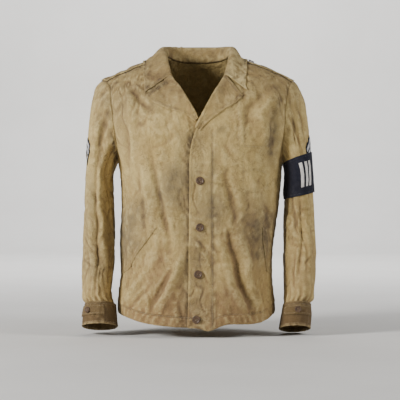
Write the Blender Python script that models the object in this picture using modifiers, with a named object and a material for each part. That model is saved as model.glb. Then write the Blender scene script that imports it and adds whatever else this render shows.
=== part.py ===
"""A cotton field jacket in the form it has when worn, hollow and with nobody in it.

Metres, +Z up. The front faces -Y and +X is the wearer's left. The origin is the middle of the neck
opening, level with the collar seam, where the neck and shoulders hold the jacket up.

The body is one smooth surface cut into panels. A point on it has a turn, the angle round the body
from the centre front (positive to the wearer's left), and a level, which is the height up to the
chest and then runs on over the shoulder, reaching 0 at the shoulder seam.
"""

import itertools
import math

import bpy
import numpy as np
from mathutils import Vector
from mathutils.bvhtree import BVHTree

# Cloth and seams
CLOTH = 0.0020
SEAM_GAP = 0.0003
LAID_GAP = 0.0014
TRIM_GAP = 0.0005
UNDERARM_EASE = 0.0016
STRAP_CLOTH = 0.0022

# How far the wearer's right front lies under the left one, and where that begins and is full
TUCK_DEPTH = 0.0044
TUCK_X = (-0.052, -0.030)
TUCK_BELOW = (0.115, 0.150)

# The side and shoulder seams lie in a plane across this direction
SEAM_AXIS = np.array([0.0, 1.0, 0.0])
METRES_PER_DEGREE = 0.0012

# Heights and lengths
CHEST = -0.190
UNDERARM = -0.240
HEM_SIDE = -0.624
HEM_FRONT_DROP = 0.028
HEM_BACK_DROP = 0.018
NECK_HALF_WIDTH = 0.080
NECK_BACK_DEPTH = 0.070

# How round the sections are: 2 is an ellipse, more is squarer
SQUARENESS = 2.4
POWER = 2 / SQUARENESS

# How many cells the panels have
BODY_ROWS = 13
ARMHOLE_ROWS = 10
GORGE_ROW = BODY_ROWS + 6
FRONT_COLUMNS = 12
HALF_BACK_COLUMNS = 12
NECK_COLUMNS = 4
CAP_ROWS = 6
ARM_ROWS = 12
SLEEVE_EVEN_TO = -0.575


def table(columns, *rows):
    """A short table, as one array for each named column."""
    return {name: np.array([row[i] for row in rows]) for i, name in enumerate(columns.split())}


# The body's half widths on the wearer's right and left, and its depths to the front and back
TORSO = table(
    "level   right   left    front  back",
    (-0.680, 0.1965, 0.1890, 0.150, 0.136),
    (-0.640, 0.1975, 0.1910, 0.150, 0.134),
    (-0.600, 0.2000, 0.1920, 0.149, 0.131),
    (-0.570, 0.1985, 0.1880, 0.147, 0.127),
    (-0.530, 0.1935, 0.1850, 0.144, 0.122),
    (-0.470, 0.1945, 0.1865, 0.140, 0.117),
    (-0.420, 0.1935, 0.1940, 0.139, 0.114),
    (-0.345, 0.1905, 0.2035, 0.141, 0.115),
    (-0.290, 0.1940, 0.2075, 0.145, 0.120),
    (-0.240, 0.2030, 0.2120, 0.149, 0.126),
    (-0.190, 0.2210, 0.2300, 0.150, 0.129),
    (-0.127, 0.2360, 0.2400, 0.150, 0.129),
    (-0.063, 0.2530, 0.2600, 0.150, 0.129),
    (-0.032, 0.2695, 0.2730, 0.150, 0.129),
    (0.000, 0.2850, 0.2850, 0.150, 0.129),
)

# The shoulder seam's height at each distance from the middle
SHOULDER = table(
    "x     z",
    (0.000, 0.030),
    (0.050, 0.026),
    (0.080, 0.018),
    (0.105, 0.0095),
    (0.135, -0.002),
    (0.185, -0.0225),
    (0.215, -0.036),
    (0.245, -0.051),
    (0.300, -0.080),
)

# Each front's inner edge: neck, roll line and front edge, x measured towards its own side
RIGHT_EDGE = table(
    "z      x",
    (-0.680, -0.0200),
    (-0.300, -0.0200),
    (-0.215, -0.0190),
    (-0.190, -0.0150),
    (-0.168, -0.0070),
    (-0.150, 0.0020),
    (-0.117, 0.0200),
    (-0.0970, 0.0315),
    (-0.0710, 0.0480),
    (-0.0440, 0.0670),
    (-0.0180, 0.0755),
    (0.000, 0.0785),
    (0.018, 0.0800),
    (0.040, 0.0810),
)
LEFT_EDGE = table(
    "z      x",
    (-0.680, -0.0262),
    (-0.550, -0.0215),
    (-0.300, -0.0212),
    (-0.235, -0.0195),
    (-0.200, -0.0130),
    (-0.168, -0.0010),
    (-0.148, 0.0085),
    (-0.117, 0.0250),
    (-0.0970, 0.0360),
    (-0.0710, 0.0510),
    (-0.0440, 0.0670),
    (-0.0180, 0.0750),
    (0.000, 0.0785),
    (0.018, 0.0800),
    (0.040, 0.0810),
)

# The largest folds of the fronts, as lines through three places. Depth is out for a ridge, in for a trough
FRONT_FOLDS = table(
    "x1      z1      x2      z2      x3      z3      width  depth",
    (0.074, -0.430, 0.106, -0.545, 0.130, -0.612, 0.013, -0.0100),
    (0.094, -0.400, 0.118, -0.500, 0.140, -0.585, 0.013, 0.0055),
    (0.055, -0.450, 0.084, -0.550, 0.108, -0.615, 0.016, 0.0045),
    (-0.026, -0.455, -0.064, -0.545, -0.096, -0.610, 0.017, 0.0080),
    (-0.058, -0.510, -0.086, -0.560, -0.112, -0.600, 0.012, -0.0075),
    (-0.112, -0.235, -0.093, -0.330, -0.068, -0.465, 0.011, -0.0050),
    (-0.135, -0.240, -0.122, -0.330, -0.104, -0.440, 0.018, 0.0040),
    (0.192, -0.086, 0.154, -0.141, 0.160, -0.215, 0.013, 0.0060),
    (0.170, -0.075, 0.128, -0.120, 0.118, -0.170, 0.014, -0.0045),
    (0.182, -0.130, 0.181, -0.180, 0.186, -0.235, 0.011, -0.0050),
    (-0.168, -0.060, -0.144, -0.098, -0.108, -0.132, 0.012, -0.0055),
    (-0.176, -0.085, -0.160, -0.150, -0.158, -0.250, 0.014, 0.0045),
    (-0.174, -0.170, -0.172, -0.240, -0.168, -0.310, 0.010, -0.0045),
    (0.066, -0.270, 0.080, -0.350, 0.098, -0.430, 0.012, -0.0045),
    (0.046, -0.280, 0.060, -0.360, 0.078, -0.440, 0.014, 0.0035),
    (0.130, -0.260, 0.140, -0.350, 0.150, -0.430, 0.016, 0.0040),
)
BACK_FOLDS = table(
    "x1      z1      x2      z2      x3      z3      width  depth",
    (-0.150, -0.120, -0.130, -0.230, -0.128, -0.340, 0.018, -0.0050),
    (0.152, -0.125, 0.134, -0.225, 0.126, -0.330, 0.018, -0.0050),
    (-0.116, -0.150, -0.100, -0.260, -0.104, -0.380, 0.020, 0.0040),
    (0.118, -0.140, 0.104, -0.255, 0.100, -0.370, 0.020, 0.0040),
    (-0.060, -0.400, -0.072, -0.500, -0.066, -0.610, 0.018, 0.0060),
    (-0.030, -0.420, -0.034, -0.510, -0.024, -0.615, 0.015, -0.0050),
    (0.052, -0.410, 0.046, -0.510, 0.058, -0.612, 0.018, 0.0060),
    (0.096, -0.430, 0.092, -0.520, 0.100, -0.610, 0.015, -0.0050),
    (-0.110, -0.440, -0.112, -0.530, -0.104, -0.600, 0.015, -0.0045),
    (0.000, -0.230, 0.006, -0.330, 0.002, -0.420, 0.022, -0.0035),
)

# The free part of each sleeve, from just under the armhole to where it goes into the cuff
RIGHT_SLEEVE = table(
    "z       outer   inner   front   back",
    (-0.285, 0.2795, 0.2105, -0.086, 0.080),
    (-0.330, 0.2825, 0.2095, -0.085, 0.077),
    (-0.380, 0.2850, 0.2085, -0.084, 0.073),
    (-0.430, 0.2865, 0.2070, -0.086, 0.066),
    (-0.480, 0.2885, 0.2060, -0.089, 0.056),
    (-0.530, 0.2890, 0.2090, -0.094, 0.042),
    (-0.575, 0.2860, 0.2130, -0.0990, 0.0260),
    (-0.592, 0.2840, 0.2110, -0.1000, 0.0180),
    (-0.601, 0.2778, 0.2058, -0.0982, 0.0108),
    (-0.616, 0.2768, 0.2058, -0.0980, 0.0100),
)
LEFT_SLEEVE = table(
    "z       outer   inner   front   back",
    (-0.285, 0.2835, 0.2165, -0.086, 0.080),
    (-0.330, 0.2865, 0.2150, -0.085, 0.077),
    (-0.380, 0.2890, 0.2130, -0.084, 0.073),
    (-0.430, 0.2905, 0.2125, -0.086, 0.066),
    (-0.480, 0.2920, 0.2130, -0.089, 0.056),
    (-0.530, 0.2910, 0.2130, -0.094, 0.042),
    (-0.575, 0.2870, 0.2130, -0.0990, 0.0260),
    (-0.592, 0.2835, 0.2125, -0.1000, 0.0180),
    (-0.601, 0.2758, 0.2118, -0.0982, 0.0108),
    (-0.616, 0.2748, 0.2115, -0.0980, 0.0100),
)
SLEEVE_TILT_OUT = 0.30
SLEEVE_TILT_FORE = 0.24
ELBOW_DEPTH = 0.50
RIGHT_CUFF = table(
    "z       outer   inner   front   back",
    (-0.604, 0.2805, 0.2020, -0.1015, 0.0140),
    (-0.620, 0.2830, 0.2005, -0.1030, 0.0130),
    (-0.640, 0.2855, 0.1990, -0.1040, 0.0110),
    (-0.657, 0.2865, 0.1985, -0.1040, 0.0095),
)
LEFT_CUFF = table(
    "z       outer   inner   front   back",
    (-0.604, 0.2788, 0.2085, -0.1015, 0.0140),
    (-0.620, 0.2795, 0.2065, -0.1030, 0.0130),
    (-0.640, 0.2785, 0.2030, -0.1040, 0.0110),
    (-0.662, 0.2765, 0.2000, -0.1040, 0.0095),
)

# The largest folds of the sleeves. Around is the angle from the outer side, by the front, in degrees
RIGHT_SLEEVE_FOLDS = table(
    "around1 z1      around2 z2      around3 z3      width  depth",
    (64, -0.130, 84, -0.300, 104, -0.520, 17, -0.0060),
    (92, -0.120, 120, -0.220, 142, -0.340, 17, -0.0060),
    (78, -0.220, 100, -0.380, 130, -0.540, 18, 0.0045),
    (40, -0.160, 52, -0.330, 70, -0.540, 19, 0.0035),
    (290, -0.150, 272, -0.300, 252, -0.500, 20, -0.0055),
    (240, -0.180, 228, -0.330, 216, -0.520, 20, 0.0045),
    (322, -0.140, 314, -0.260, 304, -0.440, 18, 0.0040),
)
LEFT_SLEEVE_FOLDS = table(
    "around1 z1      around2 z2      around3 z3      width  depth",
    (75, -0.085, 92, -0.160, 96, -0.235, 15, 0.0050),
    (48, -0.085, 62, -0.160, 70, -0.235, 15, -0.0050),
    (108, -0.110, 122, -0.170, 126, -0.240, 16, -0.0055),
    (94, -0.350, 86, -0.430, 98, -0.530, 18, -0.0050),
    (124, -0.350, 138, -0.420, 150, -0.520, 17, 0.0045),
    (60, -0.360, 56, -0.450, 66, -0.560, 18, 0.0035),
    (282, -0.150, 270, -0.300, 255, -0.490, 20, -0.0055),
    (240, -0.180, 228, -0.330, 220, -0.520, 20, 0.0045),
    (318, -0.360, 310, -0.450, 300, -0.550, 18, 0.0040),
)

# The collar's fold line and outer edge: 0 is the gorge, 0.25 the neck point and 0.5 the middle of the back
COLLAR = table(
    "share   foldx   foldy    foldz   edgex   edgey    edgez",
    (0.0000, 0.0665, -0.0890, -0.0400, 0.1250, -0.1060, -0.0830),
    (0.0625, 0.0770, -0.0660, -0.0070, 0.1300, -0.0850, -0.0560),
    (0.1250, 0.0835, -0.0400, 0.0170, 0.1330, -0.0600, -0.0310),
    (0.1875, 0.0880, -0.0170, 0.0300, 0.1345, -0.0300, -0.0120),
    (0.2500, 0.0880, 0.0080, 0.0370, 0.1330, 0.0120, -0.0020),
    (0.3125, 0.0800, 0.0430, 0.0415, 0.1190, 0.0560, -0.0040),
    (0.3750, 0.0630, 0.0670, 0.0440, 0.0900, 0.0880, -0.0080),
    (0.4375, 0.0380, 0.0800, 0.0455, 0.0500, 0.1040, -0.0120),
    (0.5000, 0.0000, 0.0840, 0.0460, 0.0000, 0.1090, -0.0140),
)
RIGHT_TIP = (0.1285, -0.0867)
LEFT_TIP = (0.1198, -0.0787)
STAND_SHARES = (0.0, 0.35, 0.7, 0.92)
FALL_SHARES = (0.0, 0.07, 0.18, 0.42, 0.7, 1.0)
COLLAR_LIFT = 0.0016
COLLAR_ARCH = 0.030
LEFT_COLLAR_IN = 0.11
GORGE_GAP = 0.003
ROLL = 0.0028

# The lapels' outlines from the gorge, round the tip, to the break: x towards its own side
RIGHT_LAPEL = table(
    "share x       z",
    (0.00, 0.1230, -0.0920),
    (0.14, 0.1120, -0.1050),
    (0.35, 0.0780, -0.1235),
    (0.60, 0.0450, -0.1340),
    (0.82, 0.0220, -0.1440),
    (1.00, 0.0060, -0.1560),
)
LEFT_LAPEL = table(
    "share x       z",
    (0.00, 0.1075, -0.0910),
    (0.12, 0.1000, -0.1030),
    (0.34, 0.0680, -0.1240),
    (0.58, 0.0400, -0.1440),
    (0.82, 0.0170, -0.1640),
    (1.00, 0.0050, -0.1790),
)
RIGHT_BREAK = -0.151
LEFT_BREAK = -0.172
LAPEL_STATIONS = 10
LAPEL_SHARES = (0.12, 0.30, 0.55, 0.80, 1.0)
LAPEL_LIFT = 0.0012

# Where the small pieces go
FRONT_BUTTONS = ((0.0048, -0.299), (0.0048, -0.411), (0.0005, -0.5237), (-0.0036, -0.6317))
FRONT_BUTTON_RADIUS = 0.0100
SMALL_BUTTON_RADIUS = 0.0078
BUTTON_THICKNESS = 0.0030
BUTTON_GAP = 0.0006
CUFF_TAB_MIDDLE = -0.6235
CUFF_TAB_HALF_HEIGHT = 0.0115
RIGHT_TAB_COLUMNS = (0, 6)
LEFT_TAB_COLUMNS = (2, 8)
STRAP_INNER = (0.118, 0.1185)
STRAP_SHORT = 0.0015
STRAP_HALF_WIDTH = 0.0210
STRAP_MIDDLE_Y = -0.006
STRAP_BUTTON_X = 0.1320
WELT_WIDTH = 0.018
WELT_CLOTH = 0.0016
RIGHT_POCKET = ((-41.0, -0.415), (-69.0, -0.520))
LEFT_POCKET = ((61.0, -0.415), (70.0, -0.522))
BAND_TOP = -0.256
BAND_TOP_SLOPE = 0.42
BAND_BOTTOM = -0.343
BAND_BOTTOM_SLOPE = 0.26
BAND_INNER_X = 0.2135
PATCH_APEX = (-0.190, -0.184)
PATCH_SLOPE = 0.66
PATCH_BAND_HEIGHT = 0.036
PATCH_HALF_COLUMNS = 2
PATCH_CLOTH = 0.0012

KHAKI = (0.44, 0.33, 0.18, 1.0)
DARK_KHAKI = (0.30, 0.21, 0.11, 1.0)
NAVY = (0.012, 0.012, 0.022, 1.0)
BUTTON_BROWN = (0.055, 0.032, 0.018, 1.0)


def smooth(stations, values, at):
    """A smooth curve through a table's rows, read at the given stations."""
    slope = np.gradient(values, stations)
    at = np.clip(at, stations[0], stations[-1])
    i = np.clip(np.searchsorted(stations, at, side="right") - 1, 0, len(stations) - 2)
    step = stations[i + 1] - stations[i]
    t = (at - stations[i]) / step
    start = (1 + 2 * t) * (1 - t) ** 2 * values[i] + t * (1 - t) ** 2 * step * slope[i]
    end = t * t * (3 - 2 * t) * values[i + 1] + t * t * (t - 1) * step * slope[i + 1]
    return start + end


def ease(value, low, high):
    """0 below low, 1 above high, and smooth between."""
    t = np.clip((value - low) / (high - low), 0, 1)
    return t * t * (3 - 2 * t)


def unit(vectors):
    return vectors / np.maximum(np.linalg.norm(vectors, axis=-1, keepdims=True), 1e-12)


def torso(turn, level):
    """Points of the body's surface, before its folds."""
    side, fore = np.sin(turn), np.cos(turn)
    left = smooth(TORSO["level"], TORSO["left"], level)
    right = smooth(TORSO["level"], TORSO["right"], level)
    half_width = np.where(side < 0, right, left)
    x = half_width * np.sign(side) * np.abs(side) ** POWER
    over = climb(level)
    outward = ease(np.abs(x), 0.06, 0.20)
    bend = np.where(fore > 0, 1.90 + 0.20 * outward, 2.40 - 0.20 * outward)
    fill = np.where(fore > 0, 1.30 + 0.65 * outward, 2.10 - 0.10 * outward)
    front = smooth(TORSO["level"], TORSO["front"], level)
    back = smooth(TORSO["level"], TORSO["back"], level)
    depth = np.where(fore > 0, front, back) * (1 - over**bend) ** (1 / fill)
    y = -depth * np.sign(fore) * np.abs(fore) ** POWER
    return np.stack([x, y, height_at(level, x)], axis=-1)


def climb(level):
    """How far a level is on its way from the chest (0) to the shoulder seam (1)."""
    return np.sin(np.clip((level - CHEST) / -CHEST, 0, 1) * math.pi / 2)


def height_at(level, x):
    shoulder = smooth(SHOULDER["x"], SHOULDER["z"], np.abs(x))
    return np.where(level <= CHEST, level, CHEST + (shoulder - CHEST) * climb(level))


def section_table():
    """The share of a quarter section's length that lies before each turn, so that cells come out even."""
    turn = np.linspace(0, math.pi / 2, 400)
    x, y = 0.20 * np.sin(turn) ** POWER, 0.14 * np.cos(turn) ** POWER
    length = np.concatenate([[0], np.cumsum(np.hypot(np.diff(x), np.diff(y)))])
    return turn, length / length[-1]


TURNS, LENGTHS = section_table()


def turn_at(share):
    return np.sign(share) * np.interp(np.abs(share), LENGTHS, TURNS)


def share_at(turn):
    return np.sign(turn) * np.interp(np.abs(turn), TURNS, LENGTHS)


def fold_height(folds, across, along, names, stretch=1.0):
    """How far the folds of a table move the cloth out, at each place."""
    height = np.zeros(np.shape(across))
    for i in range(len(folds["width"])):
        points = [(folds[names[0] + n][i] * stretch, folds[names[1] + n][i]) for n in "123"]
        near = np.full(height.shape, 1e9)
        share = np.zeros(height.shape)
        for leg, (a, b) in enumerate(zip(points, points[1:])):
            du, dv = b[0] - a[0], b[1] - a[1]
            t = np.clip(((across - a[0]) * du + (along - a[1]) * dv) / (du * du + dv * dv), 0, 1)
            far = np.hypot(across - a[0] - t * du, along - a[1] - t * dv)
            share = np.where(far < near, (leg + t) / 2, share)
            near = np.minimum(near, far)
        taper = np.sin(np.clip(0.12 + 0.76 * share, 0, 1) * math.pi)
        height += folds["depth"][i] * taper * np.exp(-((near / (folds["width"][i] * stretch)) ** 2))
    return height


def body_folds(points):
    x, y, z = points[..., 0], points[..., 1], points[..., 2]
    front = fold_height(FRONT_FOLDS, x, z, "xz") * ease(-y, -0.02, 0.03)
    back = fold_height(BACK_FOLDS, x, z, "xz") * ease(y, -0.02, 0.03)
    return front + back


def normals_of(grid, ring=False):
    """Unit normals of a grid of points, whose columns run clockwise seen from above as its rows go down."""
    if ring:
        across = np.roll(grid, -1, axis=1) - np.roll(grid, 1, axis=1)
    else:
        across = np.gradient(grid, axis=1)
    along = np.gradient(grid, axis=0)
    return unit(np.cross(across, along))


def armhole():
    """Levels of the armhole's rows, and the turns where it cuts the front and the back."""
    angle = np.linspace(-90, 90, ARMHOLE_ROWS + 1)
    low = np.minimum(angle, 0)
    below = CHEST + (CHEST - UNDERARM) * np.sin(np.radians(low))
    level = np.where(angle < 0, below, CHEST * (1 - angle / 90))
    narrow = np.cos(np.radians(low)) ** 0.9
    high = np.maximum(angle, 0) / 90
    front = (0.50 + 0.13 * high) * narrow
    back = (0.60 + 0.03 * high) * narrow
    return level, np.arccos(front ** (1 / POWER)), np.arccos(back ** (1 / POWER))


def edge_turn(edge, side, level):
    """The turn at which a front's inner edge crosses each level."""
    x = smooth(edge["z"], edge["x"], level)
    for _ in range(20):
        x = smooth(edge["z"], edge["x"], height_at(level, x))
    half_width = smooth(TORSO["level"], TORSO["left" if side > 0 else "right"], level)
    return side * np.sign(x) * np.arcsin((np.abs(x) / half_width) ** (1 / POWER))


def hem(turn):
    fore = np.cos(turn)
    return HEM_SIDE - fore * fore * np.where(fore > 0, HEM_FRONT_DROP, HEM_BACK_DROP)


def even_levels():
    """Levels of a panel's rows away from the armhole, and how far each has come from the underarm."""
    share = np.linspace(0, 1, BODY_ROWS + 1)[:-1]
    rise = np.linspace(0, 1, ARMHOLE_ROWS + 1)
    low = HEM_SIDE + (UNDERARM - HEM_SIDE) * share
    return np.concatenate([low, UNDERARM * (1 - rise)]), np.concatenate([0 * share, rise])


def spread(start, cut, columns, rise):
    """Turns of a panel's columns. Only those near the armhole make room for it, until the shoulder."""
    wide = start[:, None] + (1 - start[:, None]) * columns
    return wide - (1 - share_at(cut))[:, None] * columns ** (3 - 2 * rise[:, None])


def panel_levels(levels, upper, columns, turn):
    level = np.repeat(levels[:, None], columns.size, axis=1)
    weight = columns**3
    level[BODY_ROWS:] = level[BODY_ROWS:] * (1 - weight) + upper[:, None] * weight
    low = hem(turn[:BODY_ROWS])
    share = (levels[:BODY_ROWS, None] - HEM_SIDE) / (UNDERARM - HEM_SIDE)
    level[:BODY_ROWS] = low + (UNDERARM - low) * share
    return level


def front_grid(side):
    """A front's turns and levels: rows go up from the hem, columns round from right to left."""
    upper, cut, _ = armhole()
    levels, rise = even_levels()
    columns = np.linspace(0, 1, FRONT_COLUMNS + 1)
    start = share_at(side * edge_turn(LEFT_EDGE if side > 0 else RIGHT_EDGE, side, levels))
    cut = np.concatenate([np.full(BODY_ROWS, math.pi / 2), cut])
    turn = side * turn_at(spread(start, cut, columns, rise))
    level = panel_levels(levels, upper, columns, turn)
    level[-1] = -1e-5
    return (turn, level) if side > 0 else (turn[:, ::-1], level[:, ::-1])


def neckline():
    """Turns and levels of the back's neckline, from its middle to the neck point."""
    angle = np.linspace(0, math.pi / 2, NECK_COLUMNS + 1)
    x = NECK_HALF_WIDTH * np.sin(angle) ** 0.77
    y = NECK_BACK_DEPTH * np.cos(angle) ** 0.77
    low, high = np.full(x.shape, CHEST), np.zeros(x.shape)
    for _ in range(40):
        level = (low + high) / 2
        turn = np.arcsin((x / smooth(TORSO["level"], TORSO["left"], level)) ** (1 / POWER))
        behind = torso(math.pi - turn, level)[:, 1] > y
        low, high = np.where(behind, level, low), np.where(behind, high, level)
    return turn, np.where(angle > 1.57, -1e-5, level)


def back_grid():
    """The back's turns and levels: columns go round from the wearer's left side to the right."""
    upper, _, cut = armhole()
    levels, rise = even_levels()
    columns = np.linspace(0, 1, HALF_BACK_COLUMNS + 1)
    cut = np.concatenate([np.full(BODY_ROWS, math.pi / 2), cut])
    turn = turn_at(spread(np.zeros(levels.shape), cut, columns, rise))
    level = panel_levels(levels, upper, columns, math.pi - turn)
    neck_turn, neck_top = neckline()
    seam_width = smooth(TORSO["level"], TORSO["left"], 0.0)
    seam_end = seam_width * np.sin(cut[-1]) ** POWER
    seam_x = np.linspace(NECK_HALF_WIDTH, seam_end, HALF_BACK_COLUMNS - NECK_COLUMNS + 1)[1:]
    top_turn = np.concatenate([neck_turn, np.arcsin((seam_x / seam_width) ** (1 / POWER))])
    top = np.concatenate([neck_top, np.full(seam_x.size, -1e-5)])
    turn = turn + rise[:, None] ** 2 * (top_turn - turn[-1])
    level = level + rise[:, None] * top
    turn = np.concatenate([-turn[:, :0:-1], turn], axis=1) + math.pi
    level = np.concatenate([level[:, :0:-1], level], axis=1)
    return turn, level


def folded(turn, level):
    """The body's points with its folds, and their outward normals."""
    base = torso(turn, level)
    out = normals_of(base)
    return base + out * body_folds(base)[..., None], out


def tuck_under(points, out):
    """The wearer's right front goes under the left one, so it lies deeper there."""
    x, z = points[..., 0], points[..., 2]
    depth = TUCK_DEPTH * ease(x, *TUCK_X) * ease(-z, *TUCK_BELOW)
    return points - out * depth[..., None]


def flatten(vectors, axis):
    """Vectors with no part along an axis, so that two walls end in one plane at a seam."""
    axis = unit(np.broadcast_to(axis, vectors.shape))
    return unit(vectors - axis * (vectors * axis).sum(-1, keepdims=True))


def mesh_object(name, points, faces, colour, roughness=0.9):
    mesh = bpy.data.meshes.new(name)
    mesh.from_pydata([tuple(p) for p in points], [], faces)
    mesh.update()
    obj = bpy.data.objects.new(name, mesh)
    jacket.objects.link(obj)
    obj.data.materials.append(material(name, colour, roughness))
    mesh.shade_smooth()
    mesh.set_sharp_from_angle(angle=math.radians(50))
    return obj


def material(name, colour, roughness):
    made = bpy.data.materials.new(name)
    made.use_nodes = True
    shader = made.node_tree.nodes["Principled BSDF"]
    shader.inputs["Base Color"].default_value = colour
    shader.inputs["Roughness"].default_value = roughness
    shader.inputs["Metallic"].default_value = 0.0
    return made


def wall(name, outer, inner, colour, ring=False):
    """A closed wall of cloth between two grids of points."""
    rows, columns = outer.shape[:2]
    number = np.arange(rows * columns).reshape(rows, columns)
    below = number + rows * columns
    faces = []
    spans = columns if ring else columns - 1
    for r in range(rows - 1):
        for c in range(spans):
            d = (c + 1) % columns
            faces.append((number[r, c], number[r, d], number[r + 1, d], number[r + 1, c]))
            faces.append((below[r, c], below[r + 1, c], below[r + 1, d], below[r, d]))
    for c in range(spans):
        d = (c + 1) % columns
        faces.append((number[0, c], below[0, c], below[0, d], number[0, d]))
        faces.append((number[-1, c], number[-1, d], below[-1, d], below[-1, c]))
    if not ring:
        for r in range(rows - 1):
            faces.append((number[r, 0], number[r + 1, 0], below[r + 1, 0], below[r, 0]))
            faces.append((number[r, -1], below[r, -1], below[r + 1, -1], number[r + 1, -1]))
    points = np.concatenate([outer.reshape(-1, 3), inner.reshape(-1, 3)])
    volume = sum(np.dot(points[f[0]], np.cross(points[f[1]], points[f[2]])) for f in faces)
    volume += sum(np.dot(points[f[0]], np.cross(points[f[2]], points[f[3]])) for f in faces)
    turned = 1 if volume > 0 else -1
    return mesh_object(name, points, [tuple(int(v) for v in f[::turned]) for f in faces], colour)


def surface_tree(*grids):
    """A search tree over some panels, each with its outer side's normals."""
    points, faces = [], []
    for grid in grids:
        rows, columns = grid.shape[:2]
        first = len(points)
        points += [Vector(p) for p in grid.reshape(-1, 3)]
        for r in range(rows - 1):
            for c in range(columns - 1):
                a = first + r * columns + c
                faces.append((a, a + 1, a + columns + 1))
                faces.append((a, a + columns + 1, a + columns))
    return BVHTree.FromPolygons(points, faces)


def onto(tree, start, direction):
    """The place where a straight line meets the panels, and the cloth's normal there."""
    place, normal, _, _ = tree.ray_cast(Vector(start), Vector(direction))
    return np.array(place), np.array(normal)


def laid_on(tree, starts, directions, lift):
    """A grid of places seen along their directions, laid on the panels and moved out by lift."""
    place, out = np.zeros(starts.shape), np.zeros(starts.shape)
    for index in np.ndindex(starts.shape[:2]):
        place[index], out[index] = onto(tree, starts[index], directions[index])
    out = softened(softened(out))
    return place + out * lift, out


def from_front(x, z):
    """Starts and directions of lines that look at the jacket from the front."""
    start = np.stack([x, np.full(x.shape, -1.0), z], axis=-1)
    return start, np.broadcast_to((0.0, 1.0, 0.0), start.shape)


def softened(out):
    """Normals averaged with their neighbours in the grid."""
    padded = np.pad(out, ((1, 1), (1, 1), (0, 0)), mode="edge")
    near = padded[:-2, 1:-1] + padded[2:, 1:-1] + padded[1:-1, :-2] + padded[1:-1, 2:]
    return unit(out * 2 + near)


def kept_off(tree, points, least, most=1.0):
    """Points moved so that they lie between least and most away from the panels' outer side."""
    moved = points.copy()
    least, most = np.broadcast_to(least, points.shape[:-1]), np.broadcast_to(most, points.shape[:-1])
    for _ in range(3):
        for index in np.ndindex(points.shape[:-1]):
            place, normal, _, _ = tree.find_nearest(Vector(moved[index]))
            height = (Vector(moved[index]) - place).dot(normal)
            aim = min(max(height, least[index]), most[index])
            moved[index] += np.array(normal) * (aim - height)
    return moved


def cleared(tree, grid, least):
    """A grid whose corners are moved out until its cells, too, lie at least so far off the panels."""
    grid = grid.copy()
    steps = np.linspace(0, 1, 5)
    for _ in range(5):
        push = np.zeros(grid.shape[:2])
        way = np.zeros(grid.shape)
        for r, c in np.ndindex(grid.shape[0] - 1, grid.shape[1] - 1):
            for u, v in itertools.product(steps, steps):
                low = grid[r, c] * (1 - u) + grid[r, c + 1] * u
                high = grid[r + 1, c] * (1 - u) + grid[r + 1, c + 1] * u
                point = Vector(low * (1 - v) + high * v)
                place, normal, _, _ = tree.find_nearest(point)
                short = least - (point - place).dot(normal)
                for corner in ((r, c), (r, c + 1), (r + 1, c), (r + 1, c + 1)):
                    if short > push[corner]:
                        push[corner], way[corner] = short, normal
        grid += way * push[..., None]
    return grid


def armhole_loop(side, front, front_out, back, back_out):
    """The armhole as a ring of points, from the shoulder by the front and the underarm to the back."""
    near = -1 if side > 0 else 0
    far = 0 if side > 0 else -1
    points = np.concatenate([front[BODY_ROWS:, near][::-1], back[BODY_ROWS + 1 : -1, far]])
    out = np.concatenate([front_out[BODY_ROWS:, near][::-1], back_out[BODY_ROWS + 1 : -1, far]])
    for place, row in ((0, -1), (ARMHOLE_ROWS, BODY_ROWS)):
        points[place] = (front[row, near] + back[row, far]) / 2
        out[place] = unit(front_out[row, near] + back_out[row, far])
    return points, out


def sleeve_ring(shape, side, z, around):
    """The points of a ring of the free sleeve or the cuff."""
    names = ("outer", "inner", "front", "back")
    outer, inner, front, back = (smooth(shape["z"][::-1], shape[n][::-1], z) for n in names)
    x = (outer + inner) / 2 + (outer - inner) / 2 * np.cos(around)
    y = (front + back) / 2 - (back - front) / 2 * np.sin(around)
    falling = ease(-z, -RIGHT_SLEEVE["z"][0], ELBOW_DEPTH)
    tilt = SLEEVE_TILT_OUT * (1 - falling) * (x - (outer + inner) / 2)
    tilt -= SLEEVE_TILT_FORE * falling * (y - (front + back) / 2)
    return np.stack([side * x, y, z + tilt], axis=-1)


def sleeve_grid(side, loop, leave):
    """A sleeve's outer surface: rows go down, columns round from the outer side by the front."""
    shape = LEFT_SLEEVE if side > 0 else RIGHT_SLEEVE
    around = np.arange(2 * ARMHOLE_ROWS) * math.pi / ARMHOLE_ROWS
    first = shape["z"][0]
    target = sleeve_ring(shape, side, first, around)
    down = unit(sleeve_ring(shape, side, first - 0.01, around) - target)
    reach = np.linalg.norm(target - loop, axis=-1, keepdims=True)
    top = np.cos(around / 2)[:, None] ** 2
    rows = []
    for t in np.linspace(0, 1, CAP_ROWS + 1):
        start = (1 + 2 * t) * (1 - t) ** 2 * loop + t * (1 - t) ** 2 * leave * reach * (0.40 + 0.28 * top)
        rows.append(start + t * t * (3 - 2 * t) * target + t * t * (t - 1) * down * reach * 0.85)
    for z in np.concatenate([np.linspace(first, SLEEVE_EVEN_TO, ARM_ROWS + 1)[1:], shape["z"][-3:]]):
        rows.append(sleeve_ring(shape, side, z, around))
    grid = np.array(rows)
    folds = LEFT_SLEEVE_FOLDS if side > 0 else RIGHT_SLEEVE_FOLDS
    angle = np.broadcast_to(np.degrees(around), grid.shape[:2]) * METRES_PER_DEGREE
    height = fold_height(folds, angle, grid[..., 2], ("around", "z"), METRES_PER_DEGREE)
    height *= ease(np.arange(len(grid))[:, None] * 1.0, 0.0, 2.0) * ease(grid[..., 2], -0.60, -0.56)
    return grid + normals_of(grid, ring=True) * side * height[..., None]


def at_heights(grid, heights):
    """Places on each of a sleeve's columns, at the given heights of each."""
    found = np.zeros(heights.shape + (3,))
    for index in np.ndindex(heights.shape):
        line = grid[::-1, index[-1]]
        found[index] = [np.interp(heights[index], line[:, 2], line[:, k]) for k in range(3)]
    return found


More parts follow.
